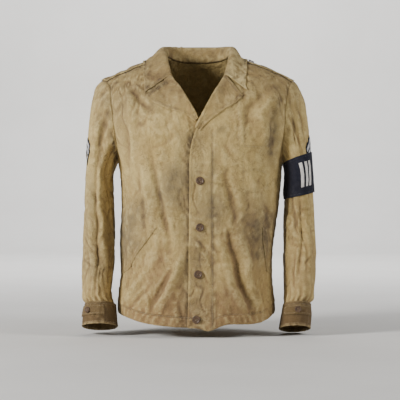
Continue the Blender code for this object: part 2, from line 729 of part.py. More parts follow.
def button(name, place, out, radius):
    """A turned button with a raised rim, laid on the cloth at a place."""
    thick = BUTTON_THICKNESS
    profile = (
        (0.0, thick * 0.55),
        (radius * 0.55, thick * 0.60),
        (radius * 0.72, thick),
        (radius * 0.92, thick),
        (radius, thick * 0.60),
        (radius * 0.94, 0.0),
        (0.0, 0.0),
    )
    mesh = bpy.data.meshes.new(name)
    mesh.from_pydata([(r, 0.0, h) for r, h in profile], [(i, i + 1) for i in range(len(profile) - 1)], [])
    obj = bpy.data.objects.new(name, mesh)
    jacket.objects.link(obj)
    turned = obj.modifiers.new("turned", "SCREW")
    turned.steps = 14
    turned.render_steps = 14
    turned.use_merge_vertices = True
    turned.merge_threshold = 0.0001
    obj.data.materials.append(material(name, BUTTON_BROWN, 0.4))
    obj.rotation_mode = "QUATERNION"
    obj.rotation_quaternion = Vector(out).to_track_quat("Z", "Y")
    obj.location = Vector(np.asarray(place) + np.asarray(out) * BUTTON_GAP)
    return obj


def body_panels():
    """The outer points and normals of the back and the two fronts, which stop just short of their seams."""
    half_gap = SEAM_GAP / 2
    made = {}
    for name, side in (("front_right", -1), ("front_left", 1)):
        outer, out = folded(*front_grid(side))
        outer = tuck_under(outer, out) if side < 0 else outer
        outer[-1, :, 1] = -half_gap
        seam = -1 if side > 0 else 0
        outer[: BODY_ROWS + 1, seam, 1] = -half_gap
        made[name] = outer, normals_of(outer)
    outer, _ = folded(*back_grid())
    shoulder = np.abs(outer[-1, :, 0]) > NECK_HALF_WIDTH - 0.003
    outer[-1, shoulder, 1] = half_gap
    outer[: BODY_ROWS + 1, 0, 1] = half_gap
    outer[: BODY_ROWS + 1, -1, 1] = half_gap
    made["back"] = outer, normals_of(outer)
    for outer, out in made.values():
        for column in (0, -1):
            on_seam = np.abs(outer[:, column, 1]) < 2 * half_gap
            out[on_seam, column] = flatten(out[on_seam, column], SEAM_AXIS)
        on_seam = np.abs(outer[-1, :, 1]) < 2 * half_gap
        out[-1, on_seam] = flatten(out[-1, on_seam], SEAM_AXIS)
    return made


def join_sleeve(body, side):
    """Gives an armhole one normal for the panels and the sleeve. Returns the sleeve's top ring: points,
    normals and the ways in which the sleeve leaves it."""
    front, front_out = body["front_left" if side > 0 else "front_right"]
    back, back_out = body["back"]
    loop, out = armhole_loop(side, front, front_out, back, back_out)
    along = unit(np.roll(loop, -1, axis=0) - np.roll(loop, 1, axis=0))
    low = np.sin(np.arange(len(loop)) * math.pi / (2 * ARMHOLE_ROWS)) ** 4
    dip = np.radians(38 + 24 * low)
    leave = np.stack([side * np.cos(dip), 0 * dip, -np.sin(dip)], axis=-1)
    out = unit(out + side * unit(np.cross(along, leave)))
    out = flatten(out, along)
    across = unit(np.cross(out, along)) * side
    near = -1 if side > 0 else 0
    far = 0 if side > 0 else -1
    front_out[BODY_ROWS:, near] = out[: ARMHOLE_ROWS + 1][::-1]
    back_out[BODY_ROWS:, far] = np.concatenate([out[ARMHOLE_ROWS:], out[:1]])
    for row in (BODY_ROWS, -1):
        front_out[row, near] = flatten(front_out[row, near], SEAM_AXIS)
        back_out[row, far] = flatten(back_out[row, far], SEAM_AXIS)
    return loop + across * (SEAM_GAP + UNDERARM_EASE * low[:, None]), out, leave


def make_sleeve(body, side, suffix):
    """A sleeve with its cuff, tab, patch and, on the left, the armband."""
    loop, out, leave = join_sleeve(body, side)
    grid = sleeve_grid(side, loop, leave)
    outward = normals_of(grid, ring=True) * side
    outward[0] = out
    wall("sleeve_" + suffix, grid, grid - outward * CLOTH, KHAKI, ring=True)
    shape = LEFT_CUFF if side > 0 else RIGHT_CUFF
    around = np.arange(2 * ARMHOLE_ROWS) * math.pi / ARMHOLE_ROWS
    cuff = np.array([sleeve_ring(shape, side, z, around) for z in shape["z"]])
    cuff_out = normals_of(cuff, ring=True) * side
    wall("cuff_" + suffix, cuff, cuff - cuff_out * CLOTH, DARK_KHAKI, ring=True)
    first, last = RIGHT_TAB_COLUMNS if side < 0 else LEFT_TAB_COLUMNS
    middle = CUFF_TAB_MIDDLE - SLEEVE_TILT_FORE * (cuff[1, first : last + 1, 1] - cuff[1, :, 1].mean())
    heights = np.array([middle + CUFF_TAB_HALF_HEIGHT, middle, middle - CUFF_TAB_HALF_HEIGHT])
    tab = at_heights(cuff[:, first : last + 1], heights)
    tab_out = np.repeat(cuff_out[1:2, first : last + 1], 3, axis=0)
    tab = tab + tab_out * LAID_GAP / 2
    wall("cuff_tab_" + suffix, tab + tab_out * WELT_CLOTH, tab, DARK_KHAKI)
    local = (last - first) // 2
    top = tab[1, local] + tab_out[1, local] * WELT_CLOTH
    button("cuff_button_" + suffix, top, tab_out[1, local], SMALL_BUTTON_RADIUS)
    around_columns = np.arange(-PATCH_HALF_COLUMNS, PATCH_HALF_COLUMNS + 1)
    rolled = np.roll(grid, PATCH_HALF_COLUMNS, axis=1)[:, : around_columns.size]
    rolled_out = np.roll(outward, PATCH_HALF_COLUMNS, axis=1)[:, : around_columns.size]
    apex = PATCH_APEX[0 if side < 0 else 1]
    level_line = at_heights(rolled, np.full((1, around_columns.size), apex))
    step = np.linalg.norm(np.diff(level_line, axis=1), axis=-1).mean()
    heights = apex - PATCH_SLOPE * step * np.abs(around_columns)
    heights = np.array([heights, heights - PATCH_BAND_HEIGHT / 2, heights - PATCH_BAND_HEIGHT])
    patch = at_heights(rolled, heights)
    middle_row = int(np.argmin(np.abs(rolled[:, PATCH_HALF_COLUMNS, 2] - apex)))
    patch_out = np.repeat(rolled_out[middle_row : middle_row + 1], 3, axis=0)
    closed = np.concatenate([grid, grid[:, :1]], axis=1)[:, ::side]
    patch = cleared(surface_tree(closed), patch + patch_out * LAID_GAP / 2, TRIM_GAP)
    patch_top = patch + patch_out * PATCH_CLOTH
    wall("chevron_" + suffix, patch_top, patch, NAVY)
    if side > 0:
        make_armband(grid, surface_tree(closed, patch_top))


def make_armband(grid, tree):
    lean = grid[CAP_ROWS + 1, :, 0] - BAND_INNER_X
    top, bottom = BAND_TOP + BAND_TOP_SLOPE * lean, BAND_BOTTOM + BAND_BOTTOM_SLOPE * lean
    heights = top + (bottom - top) * np.linspace(0, 1, 6)[:, None]
    band = at_heights(grid, heights)
    out = normals_of(band, ring=True)
    around = np.arange(band.shape[1]) * 2 * math.pi / band.shape[1]
    over_patch = (PATCH_CLOTH + LAID_GAP / 2) * ease(np.cos(around), -0.3, 0.4)
    band = band + out * (LAID_GAP / 2 + over_patch)[:, None]
    band = cleared(tree, np.concatenate([band, band[:, :1]], axis=1), TRIM_GAP)
    band = np.concatenate([(band[:, :1] + band[:, -1:]) / 2, band[:, 1:-1]], axis=1)
    wall("armband", band + out * CLOTH, band, NAVY, ring=True)


def rolled_wall(name, hidden, out, colour):
    """A wall of cloth that rolls over: hidden is its hollow side, with the normals of that side."""
    wall(name, hidden - out * CLOTH, hidden, colour)


def edge_along(side, outer, out):
    """The front's inner edge from the gorge down, its normals, and the ways out of the panel at it."""
    column = 0 if side > 0 else -1
    points, normals = outer[::-1, column], out[::-1, column]
    along = unit(np.gradient(points, axis=0))
    leave = unit(np.cross(along, normals)) * side
    return points, normals, leave


def make_lapel(body, tree, side, suffix):
    """The turned-out facing: it starts at the front's edge, rolls over and lies on the front."""
    outer, out = body["front_" + suffix]
    points, normals, leave = edge_along(side, outer, out)
    shape = LEFT_LAPEL if side > 0 else RIGHT_LAPEL
    first = points[ARMHOLE_ROWS + BODY_ROWS - GORGE_ROW, 2] - GORGE_GAP
    heights = np.linspace(first, LEFT_BREAK if side > 0 else RIGHT_BREAK, LAPEL_STATIONS + 1)
    place, normal, away = (
        np.stack([np.interp(-heights, -points[:, 2], kind[:, k]) for k in range(3)], axis=-1)
        for kind in (points, normals, leave)
    )
    away = unit(away - normal * (away * normal).sum(-1, keepdims=True))
    share = np.linspace(0, 1, LAPEL_STATIONS + 1)
    edge_x = side * smooth(shape["share"], shape["x"], share)
    edge_z = smooth(shape["share"], shape["z"], share)
    rows = [place + away * SEAM_GAP]
    for turn in (45, 90, 135, 180):
        rise = ROLL * (1 - math.cos(math.radians(turn)))
        rows.append(place + away * (SEAM_GAP + ROLL * math.sin(math.radians(turn))) + normal * rise)
    roll_rows = len(rows)
    for part in LAPEL_SHARES:
        x = rows[4][:, 0] + (edge_x - rows[4][:, 0]) * part
        z = rows[4][:, 2] + (edge_z - rows[4][:, 2]) * part
        lift = LAPEL_LIFT + (2 * ROLL - LAPEL_LIFT) * (1 - part) ** 1.5
        start, direction = from_front(x[None], z[None])
        laid, _ = laid_on(tree, start, direction, lift)
        rows.append(laid[0])
    grid = np.array(rows)
    grid[roll_rows - 1 :] = cleared(tree, grid[roll_rows - 1 :], LAPEL_LIFT)
    hollow = normals_of(grid)
    hollow *= np.sign((hollow[0] * normal).sum())
    hollow[0] = normal
    rolled_wall("lapel_" + suffix, grid, hollow, KHAKI)
    return grid - hollow * CLOTH


def neck_seam(body):
    """The neckline from the right gorge round the back to the left one: points, normals and ways out."""
    stretches = []
    for name, side in (("front_right", -1), ("front_left", 1)):
        outer, out = body[name]
        column = 0 if side > 0 else -1
        stretches.append((outer[GORGE_ROW:, column], out[GORGE_ROW:, column]))
    back, back_out = body["back"]
    middle = HALF_BACK_COLUMNS
    behind = slice(middle - NECK_COLUMNS + 1, middle + NECK_COLUMNS)
    points = np.concatenate([stretches[0][0], back[-1, behind][::-1], stretches[1][0][::-1]])
    out = np.concatenate([stretches[0][1], back_out[-1, behind][::-1], stretches[1][1][::-1]])
    along = unit(np.gradient(points, axis=0))
    return points, out, unit(np.cross(along, out))


def make_collar(body, tree):
    points, normals, away = neck_seam(body)
    count = len(points)
    stations = np.linspace(0, 1, 2 * count - 1)
    place, normal, away = (
        np.stack([np.interp(stations, np.linspace(0, 1, count), kind[:, k]) for k in range(3)], axis=-1)
        for kind in (points, normals, away)
    )
    normal, away = unit(normal), unit(away)
    share = np.minimum(stations, 1 - stations)
    side = np.where(stations < 0.5, -1.0, 1.0)
    fold = np.stack([smooth(COLLAR["share"], COLLAR["fold" + k], share) for k in "xyz"], axis=-1)
    edge = np.stack([smooth(COLLAR["share"], COLLAR["edge" + k], share) for k in "xyz"], axis=-1)
    fold[:, 0] *= side
    edge[:, 0] *= side * np.where(side > 0, 1 - LEFT_COLLAR_IN * ease(-share, -0.44, -0.30), 1.0)
    near_tip = np.clip(1 - share / 0.0625, 0, 1)
    tips = np.where(side < 0, RIGHT_TIP[0], LEFT_TIP[0]), np.where(side < 0, RIGHT_TIP[1], LEFT_TIP[1])
    edge[:, 0] += near_tip * (side * tips[0] - edge[:, 0])
    edge[:, 2] += near_tip * (tips[1] - edge[:, 2])
    base = place + away * SEAM_GAP
    over = unit(edge - base)
    flat = unit(over * (1, 1, 0.25))
    stand = np.linalg.norm(fold - base, axis=-1, keepdims=True)
    fall = np.linalg.norm(edge - fold, axis=-1, keepdims=True)
    rise = unit(away + np.array([0, 0, 1.2]) * np.clip(stand / 0.02, 0, 1))
    rows = []
    for t in STAND_SHARES:
        rows.append(
            (1 + 2 * t) * (1 - t) ** 2 * base
            + t * (1 - t) ** 2 * rise * stand
            + t * t * (3 - 2 * t) * fold
            + t * t * (t - 1) * flat * np.minimum(stand * 1.2, 0.022)
        )
    for t in FALL_SHARES:
        rows.append(
            (1 + 2 * t) * (1 - t) ** 2 * fold
            + t * (1 - t) ** 2 * flat * COLLAR_ARCH
            + t * t * (3 - 2 * t) * edge
            + t * t * (t - 1) * over * fall * 0.8
        )
    grid = np.array(rows)
    first = len(STAND_SHARES)
    shares = np.array(FALL_SHARES)[:, None]
    ends = COLLAR_ARCH * (1 - shares) ** 1.5 + COLLAR_LIFT
    grid[first:] = kept_off(tree, grid[first:], COLLAR_LIFT, np.broadcast_to(ends, grid[first:].shape[:2]))
    grid[first:] = cleared(tree, grid[first:], COLLAR_LIFT / 2)
    hollow = normals_of(grid)
    hollow *= np.sign((hollow[0] * normal).sum())
    hollow[0] = normal
    rolled_wall("collar", grid, hollow, KHAKI)


def make_strap(body, tree, side, suffix):
    """A shoulder strap. The right one's inner end, with its button, is out of sight under the collar."""
    inner = STRAP_INNER[0 if side < 0 else 1]
    share = np.linspace(0, 1, 9)
    across = np.linspace(-1, 1, 5)[:, None]
    half = STRAP_HALF_WIDTH * (1 - 0.45 * ease(-share, -0.14, 0.0))
    y = STRAP_MIDDLE_Y + across * half
    front, back = body["front_" + suffix][0], body["back"][0]
    upper = slice(BODY_ROWS + ARMHOLE_ROWS // 2, None)
    seam = np.concatenate([front[upper, -1 if side > 0 else 0], back[upper, 0 if side > 0 else -1][::-1]])
    end = np.interp(y, seam[:, 1], np.abs(seam[:, 0])) - STRAP_SHORT
    x = inner + (end - inner) * share
    start = np.stack([side * x, y, np.full(y.shape, 0.5)], axis=-1)
    under, out = laid_on(tree, start, np.broadcast_to((0.0, 0.0, -1.0), start.shape), LAID_GAP)
    top = under + out * STRAP_CLOTH
    wall("strap_" + suffix, top, under, KHAKI)
    if side > 0:
        at = int(np.argmin(np.abs(x[2] - STRAP_BUTTON_X)))
        button("strap_button", top[2, at], out[2, at], SMALL_BUTTON_RADIUS)
    return top if side > 0 else top[::-1]


def make_pocket(tree, ends, suffix):
    """A welt laid along a slanted pocket opening, seen from outside at each height."""
    share = np.linspace(0, 1, 7)
    middle = np.radians(ends[0][0] + (ends[1][0] - ends[0][0]) * share)
    z = ends[0][1] + (ends[1][1] - ends[0][1]) * share
    lean = np.sign(ends[0][0]) * WELT_WIDTH / 2 / 0.155
    turn = middle + np.array([-1, 0, 1])[:, None] * lean
    height = z + np.array([0.004, 0, -0.004])[:, None]
    start = np.stack([0.5 * np.sin(turn), -0.5 * np.cos(turn), height], axis=-1)
    direction = -start * (1, 1, 0)
    under, out = laid_on(tree, start, direction, TRIM_GAP)
    under = cleared(tree, under, TRIM_GAP)
    wall("pocket_welt_" + suffix, under + out * WELT_CLOTH, under, KHAKI)


def main():
    body = body_panels()
    for side, suffix in ((-1, "right"), (1, "left")):
        make_sleeve(body, side, suffix)
    for name, (outer, out) in body.items():
        wall(name, outer, outer - out * CLOTH, KHAKI)
    tree = surface_tree(*(outer for outer, _ in body.values()))
    laid = [outer for outer, _ in body.values()]
    for side, suffix in ((-1, "right"), (1, "left")):
        laid.append(make_strap(body, tree, side, suffix))
        make_lapel(body, tree, side, suffix)
    make_pocket(tree, RIGHT_POCKET, "right")
    make_pocket(tree, LEFT_POCKET, "left")
    make_collar(body, surface_tree(*laid))
    for number, (x, z) in enumerate(FRONT_BUTTONS, 1):
        start, direction = from_front(np.array([[x]]), np.array([[z]]))
        place, out = laid_on(tree, start, direction, 0.0)
        button(f"front_button_{number}", place[0, 0], out[0, 0], FRONT_BUTTON_RADIUS)


for old in list(bpy.data.objects):
    bpy.data.objects.remove(old)
jacket = bpy.data.collections.new("field_jacket")
bpy.context.scene.collection.children.link(jacket)
main()
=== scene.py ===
import itertools
import math

import bpy
import numpy as np
from mathutils import Matrix, Vector
from mathutils.bvhtree import BVHTree


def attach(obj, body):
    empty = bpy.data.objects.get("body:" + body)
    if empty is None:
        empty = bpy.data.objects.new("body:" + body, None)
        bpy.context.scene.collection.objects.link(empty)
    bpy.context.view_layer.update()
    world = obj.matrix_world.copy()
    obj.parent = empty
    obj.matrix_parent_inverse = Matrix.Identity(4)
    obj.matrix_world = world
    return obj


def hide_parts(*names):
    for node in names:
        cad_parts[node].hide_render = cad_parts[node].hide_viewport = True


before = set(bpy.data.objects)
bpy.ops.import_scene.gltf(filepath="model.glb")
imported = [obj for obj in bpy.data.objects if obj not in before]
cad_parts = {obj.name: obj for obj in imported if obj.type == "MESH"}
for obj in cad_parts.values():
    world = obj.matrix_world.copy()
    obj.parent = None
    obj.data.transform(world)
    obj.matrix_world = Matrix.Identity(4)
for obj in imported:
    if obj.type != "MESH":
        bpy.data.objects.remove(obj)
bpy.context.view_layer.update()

# Cotton field jacket in its worn form, hollow. Metres, front faces -Y, +X is the wearer's left.

photoCamera = {"place": (0.005, -3.5, -0.345), "lens": 126.0}

cameraData = bpy.data.cameras.new("photoCamera")
cameraData.lens = photoCamera["lens"]
cameraData.sensor_width = 36.0
camera = bpy.data.objects.new("photoCamera", cameraData)
camera.location = photoCamera["place"]
camera.rotation_euler = (math.radians(90), 0, 0)
bpy.context.scene.collection.objects.link(camera)
bpy.context.scene.camera = camera


def readTable(names, *rows):
    return dict(zip(names.split(), np.array([row.split() for row in rows], float).T))


# numbers and curves

def smooth(stations, values, at):
    slope = np.gradient(values, stations)
    at = np.clip(at, stations[0], stations[-1])
    i = np.clip(np.searchsorted(stations, at, side="right") - 1, 0, len(stations) - 2)
    step = stations[i + 1] - stations[i]
    t = (at - stations[i]) / step
    start = (1 + 2 * t) * (1 - t) ** 2 * values[i] + t * (1 - t) ** 2 * step * slope[i]
    return start + t * t * (3 - 2 * t) * values[i + 1] + t * t * (t - 1) * step * slope[i + 1]


def curve(table, name, at):  # a table's first column says where its values stand
    return smooth(next(iter(table.values())), table[name], at)


def ease(value, low, high):
    t = np.clip((value - low) / (high - low), 0, 1)
    return t * t * (3 - 2 * t)


def bell(value, width):
    return np.exp(-((value / width) ** 2))


def unit(vectors):
    return vectors / np.maximum(np.linalg.norm(vectors, axis=-1, keepdims=True), 1e-12)


noiseTable = np.random.default_rng(41).random((64, 64, 64))


def noise(points, scale, shift=0.0):  # smooth value noise, -1 to 1
    p = points / np.asarray(scale, float) + shift + 97.0
    cell = np.floor(p).astype(int)
    t = p - cell
    t = t * t * t * (t * (t * 6 - 15) + 10)
    total = np.zeros(points.shape[:-1])
    for corner in itertools.product((0, 1), repeat=3):
        share = np.ones(points.shape[:-1])
        for k in range(3):
            share = share * (t[..., k] if corner[k] else 1 - t[..., k])
        i, j, k = np.moveaxis((cell + corner) % 64, -1, 0)
        total += share * noiseTable[i, j, k]
    return total * 2 - 1


def warped(points, reach, scale, seeds):
    return points + reach * np.stack([noise(points, scale, seed) for seed in seeds], -1)


def legDistance(x, z, a, b):  # how far each place lies from one straight leg, and how far along that leg
    du, dv = b[0] - a[0], b[1] - a[1]
    t = np.clip(((x - a[0]) * du + (z - a[1]) * dv) / (du * du + dv * dv), 0, 1)
    return np.hypot(x - a[0] - t * du, z - a[1] - t * dv), t


def foldHeight(folds, across, along, names=("x", "z"), stretch=1.0, narrow=1.0):
    height = np.zeros(np.shape(across))
    for i, depth in enumerate(folds["depth"]):
        points = [(folds[names[0] + n][i] * stretch, folds[names[1] + n][i]) for n in "123"]
        (near, first), (far, second) = (legDistance(across, along, a, b) for a, b in zip(points, points[1:]))
        share = np.where(far < near, (1 + second) / 2, first / 2)
        taper = np.sin(np.clip(0.12 + 0.76 * share, 0, 1) * math.pi)
        height += depth * taper * bell(np.minimum(near, far), folds["width"][i] * stretch * narrow)
    return height


def gridNormals(grid, ring=False):
    if ring:
        across = np.roll(grid, -1, axis=1) - np.roll(grid, 1, axis=1)
    else:
        across = np.gradient(grid, axis=1)
    return unit(np.cross(across, np.gradient(grid, axis=0)))


def flatten(vectors, axis):
    axis = unit(np.broadcast_to(axis, vectors.shape))
    return unit(vectors - axis * (vectors * axis).sum(-1, keepdims=True))


def softened(out, times=2):
    for _ in range(times):
        padded = np.pad(out, ((1, 1), (1, 1), (0, 0)), mode="edge")
        near = padded[:-2, 1:-1] + padded[2:, 1:-1] + padded[1:-1, :-2] + padded[1:-1, 2:]
        out = unit(out * 2 + near)
    return out


# laying one piece on another

def surfaceTree(*grids):
    points, faces = [], []
    for grid in grids:
        rows, columns = grid.shape[:2]
        first = len(points)
        points += [Vector(p) for p in grid.reshape(-1, 3)]
        number = first + np.arange(rows * columns).reshape(rows, columns)
        a, b, c, d = number[:-1, :-1], number[:-1, 1:], number[1:, 1:], number[1:, :-1]
        for three in (np.stack([a, b, c], -1), np.stack([a, c, d], -1)):
            faces += three.reshape(-1, 3).tolist()
    return BVHTree.FromPolygons(points, faces)


missNudges = [Vector(v) * 0.0007 for v in ((0, 0, 0), (0, 1, 0), (0, -1, 0), (1, 0, 0), (-1, 0, 0), (0, 0, 1))]


def laidOn(tree, starts, directions, lift):
    place, out = np.zeros(starts.shape), np.zeros(starts.shape)
    for index in np.ndindex(starts.shape[:2]):
        start, aim = Vector(starts[index]), Vector(directions[index])
        for nudge in missNudges:  # a ray through the gap of a seam is tried again beside it
            hit, normal, _, _ = tree.ray_cast(start + nudge, aim)
            if hit:
                break
        else:
            before = index[0], index[1] - 1
            hit, normal = Vector(place[before]), Vector(out[before])
        place[index], out[index] = hit - nudge, normal
    out = softened(out)
    return place + out * lift, out


def fromFront(x, z):
    start = np.stack([x, np.full(x.shape, -1.0), z], axis=-1)
    return start, np.broadcast_to((0.0, 1.0, 0.0), start.shape)


def keptOff(tree, points, least, most=1.0):
    moved = points.copy()
    least, most = np.broadcast_to(least, points.shape[:-1]), np.broadcast_to(most, points.shape[:-1])
    for _ in range(3):
        for index in np.ndindex(points.shape[:-1]):
            place, normal, _, _ = tree.find_nearest(Vector(moved[index]))
            height = (Vector(moved[index]) - place).dot(normal)
            aim = min(max(height, least[index]), most[index])
            moved[index] += np.array(normal) * (aim - height)
    return moved


# stains, wear, painted shade and painted light, read by the cloth materials as the point attribute "marks"

stains = readTable(  # place seen from the front, size, then dark dirt, warm brown, grey violet
    "x z rx rz dark warm grey",
    "-.067 -.323 .03 .05 .45 0 .55", "-.04 -.29 .022 .03 .25 0 .35", "-.178 -.44 .032 .055 .4 0 .85",
    "-.15 -.37 .034 .05 .22 .1 .35", ".181 -.205 .018 .045 .6 0 .55", ".13 -.405 .05 .07 .32 .45 .4",
    ".165 -.44 .03 .06 .45 .2 .45", ".041 -.366 .022 .034 .42 0 .6", ".025 -.29 .016 .026 .25 .1 .2",
    "-.091 -.507 .026 .046 .05 .6 0", "-.065 -.584 .03 .04 .1 .75 0", ".079 -.584 .036 .038 .12 .75 .05",
    ".01 -.62 .05 .04 .15 .45 0", "0 -.5 .016 .16 .3 .1 .25", "-.1 -.12 .03 .02 .15 .05 .2",
    ".056 -.186 .014 .007 .6 0 .3", "-.17 -.14 .04 .09 .12 0 .2", "0 -.2 .02 .04 .35 .2 0",
    "-.262 -.36 .03 .09 .18 0 .3", "-.256 -.505 .035 .045 .3 .05 .25", "-.225 -.12 .03 .06 .2 0 .3",
    ".236 -.37 .02 .06 .35 .2 .1", ".2 -.13 .022 .06 .3 0 .25", ".25 -.52 .04 .06 .15 .2 .1",
)


foldShadeLines = readTable(  # painted shade, with dirt, along deep folds and in the gaps under the collar and at the armhole, seen from the front: three places of each dark line, its width and how dark it is
    "x1 z1 x2 z2 x3 z3 width depth",
    "-.127 -.086 -.104 -.0765 -.079 -.0625 .0046 1.6", "-.212 -.1795 -.201 -.2166 -.2 -.2536 .0042 .85",
    "-.147 -.077 -.122 -.098 -.092 -.13 .006 .3", "-.246 -.138 -.241 -.215 -.231 -.296 .0045 .55",
    "-.223 -.1 -.213 -.17 -.204 -.235 .004 .35", ".223 -.071 .231 -.135 .235 -.198 .0034 .45",
    ".243 -.08 .251 -.14 .257 -.198 .003 .4", ".203 -.098 .175 -.16 .179 -.243 .005 .4",
    ".119 -.078 .105 -.09 .08 -.13 .005 .28",
)


def channels(marks):  # dark dirt and painted shade, warm brown, grey violet, and rubbed wear with some painted light, as views that can be added to
    return np.moveaxis(marks, -1, 0)


def marksAt(points):
    x, y, z = np.moveaxis(points, -1, 0)
    warp = warped(points, 0.012, 0.030, (3, 7, 11))
    blot = 0.5 + 0.5 * noise(points, 0.011, 5)
    cloud = 0.5 + 0.5 * noise(points, 0.055, 9)
    marks = np.zeros(points.shape[:-1] + (4,))
    dark, warm, grey, rub = channels(marks)
    seen = ease(-y, -0.03, 0.03)
    for i, reach in enumerate(stains["rx"]):
        far = ((warp[..., 0] - stains["x"][i]) / reach) ** 2
        far += ((warp[..., 2] - stains["z"][i]) / stains["rz"][i]) ** 2
        spot = np.exp(-far * 0.9) * seen * (0.55 + 0.6 * blot)
        for k, name in enumerate(("dark", "warm", "grey")):
            marks[..., k] += stains[name][i] * spot
    behind = ease(y, -0.01, 0.04)
    smudge = ease(noise(points, (0.09, 0.09, 0.12), 21), 0.05, 0.75)
    dark += 0.30 * behind * smudge * (0.5 + 0.7 * blot)
    grey += 0.30 * behind * ease(noise(points, 0.10, 31), 0.1, 0.8)
    low = ease(-z, 0.28, 0.62)
    warm += 0.40 * low * (0.4 + 0.8 * cloud) + 0.42 * ease(-z, 0.565, 0.66)
    dark += 0.10 * low * blot + 0.14 * cloud * cloud * ease(-z, 0.15, 0.4)
    # darker and browner across the shoulders: painted shade of the shoulders turned away from the light, partly
    # brown grime
    top = ease(z, -0.150, -0.055)
    dark += 0.46 * top * (0.4 + 0.8 * blot)
    warm += 0.36 * top * (0.4 + 0.9 * cloud)
    streak = noise(warp, (0.012, 0.012, 0.080), 45)  # long upright streaks: painted shade and painted light of upright folds, together with wear
    warm += 0.17 * ease(streak, 0.05, 0.75)
    dark += 0.08 * ease(streak, 0.15, 0.80)
    rub += 0.42 * ease(-streak, 0.10, 0.80) * (1 - 0.5 * top)
    line = 1 - np.abs(noise(warp, (0.026, 0.026, 0.020), 15))  # thin scribbled dirt in old creases
    scribble = ease(line, 0.94, 1.0) * ease(noise(points, 0.06, 25), 0.0, 0.5)
    # the listed dark lines are painted shade of deep folds and gaps, with dirt
    dark += 0.24 * scribble + seen * foldHeight(foldShadeLines, warp[..., 0] * 0.4 + x * 0.6, z)
    return np.clip(marks, 0, 1.4)


# one closed wall of cloth from a grid of places on its outer side

def hollowAt(grid, out, ring, step):  # how far each place lies below those a few steps away
    padded = np.pad(grid, ((step, step), (0, 0), (0, 0)), mode="reflect", reflect_type="odd")
    sides = {"mode": "wrap"} if ring else {"mode": "reflect", "reflect_type": "odd"}
    padded = np.pad(padded, ((0, 0), (step, step), (0, 0)), **sides)
    level, upright = slice(step, -step), 2 * step
    near = padded[upright:, level] + padded[:-upright, level] + padded[level, upright:] + padded[level, :-upright]
    return ((near / 4 - grid) * out).sum(-1)


def creaseMarks(grid, out, marks, ring):  # the hollows of creases are darkened, painted shade together with dirt, and their crests fade as rubbed wear
    marks = marks.copy()
    dark, warm, _, rub = channels(marks)
    step = min(6, min(grid.shape[:2]) // 3)
    if step > 2:
        wide = hollowAt(grid, out, ring, step)
        wide = wide - wide.mean(axis=1, keepdims=True)
        dark += 0.09 * ease(wide, 0.0007, 0.0040)
        warm += 0.22 * ease(wide, 0.0005, 0.0034)
        np.maximum(rub, 0.38 * ease(-wide, 0.0008, 0.0040), out=rub)
    hollow = hollowAt(grid, out, ring, 2)
    dark += 0.20 * ease(hollow, 0.00012, 0.00130)
    warm += 0.34 * ease(hollow, 0.00010, 0.00120)
    np.maximum(rub, 0.50 * ease(-hollow, 0.00012, 0.00110), out=rub)
    return marks


def polyLengths(grid, axis):
    step = np.linalg.norm(np.diff(grid, axis=axis), axis=-1)
    pad = [(0, 0), (0, 0)]
    pad[axis] = (1, 0)
    return np.pad(np.cumsum(step, axis=axis), pad)


lipBulge = 0.45
insideDirt, edgeFade = 0.4, 0.45


def clothMap(outer, ring):  # metres across and down the cloth, and the way round where it is a ring
    v = np.broadcast_to(polyLengths(outer, 0).mean(axis=1, keepdims=True), outer.shape[:2])
    if ring:
        u = polyLengths(ringClosed(outer), 1)
        return np.stack([u[:, :-1], v], -1).reshape(-1, 2), u[:, -1].mean()
    u = polyLengths(outer, 1)
    middle = outer.shape[1] // 2
    return np.stack([u - u[:, middle : middle + 1], v], -1).reshape(-1, 2), None


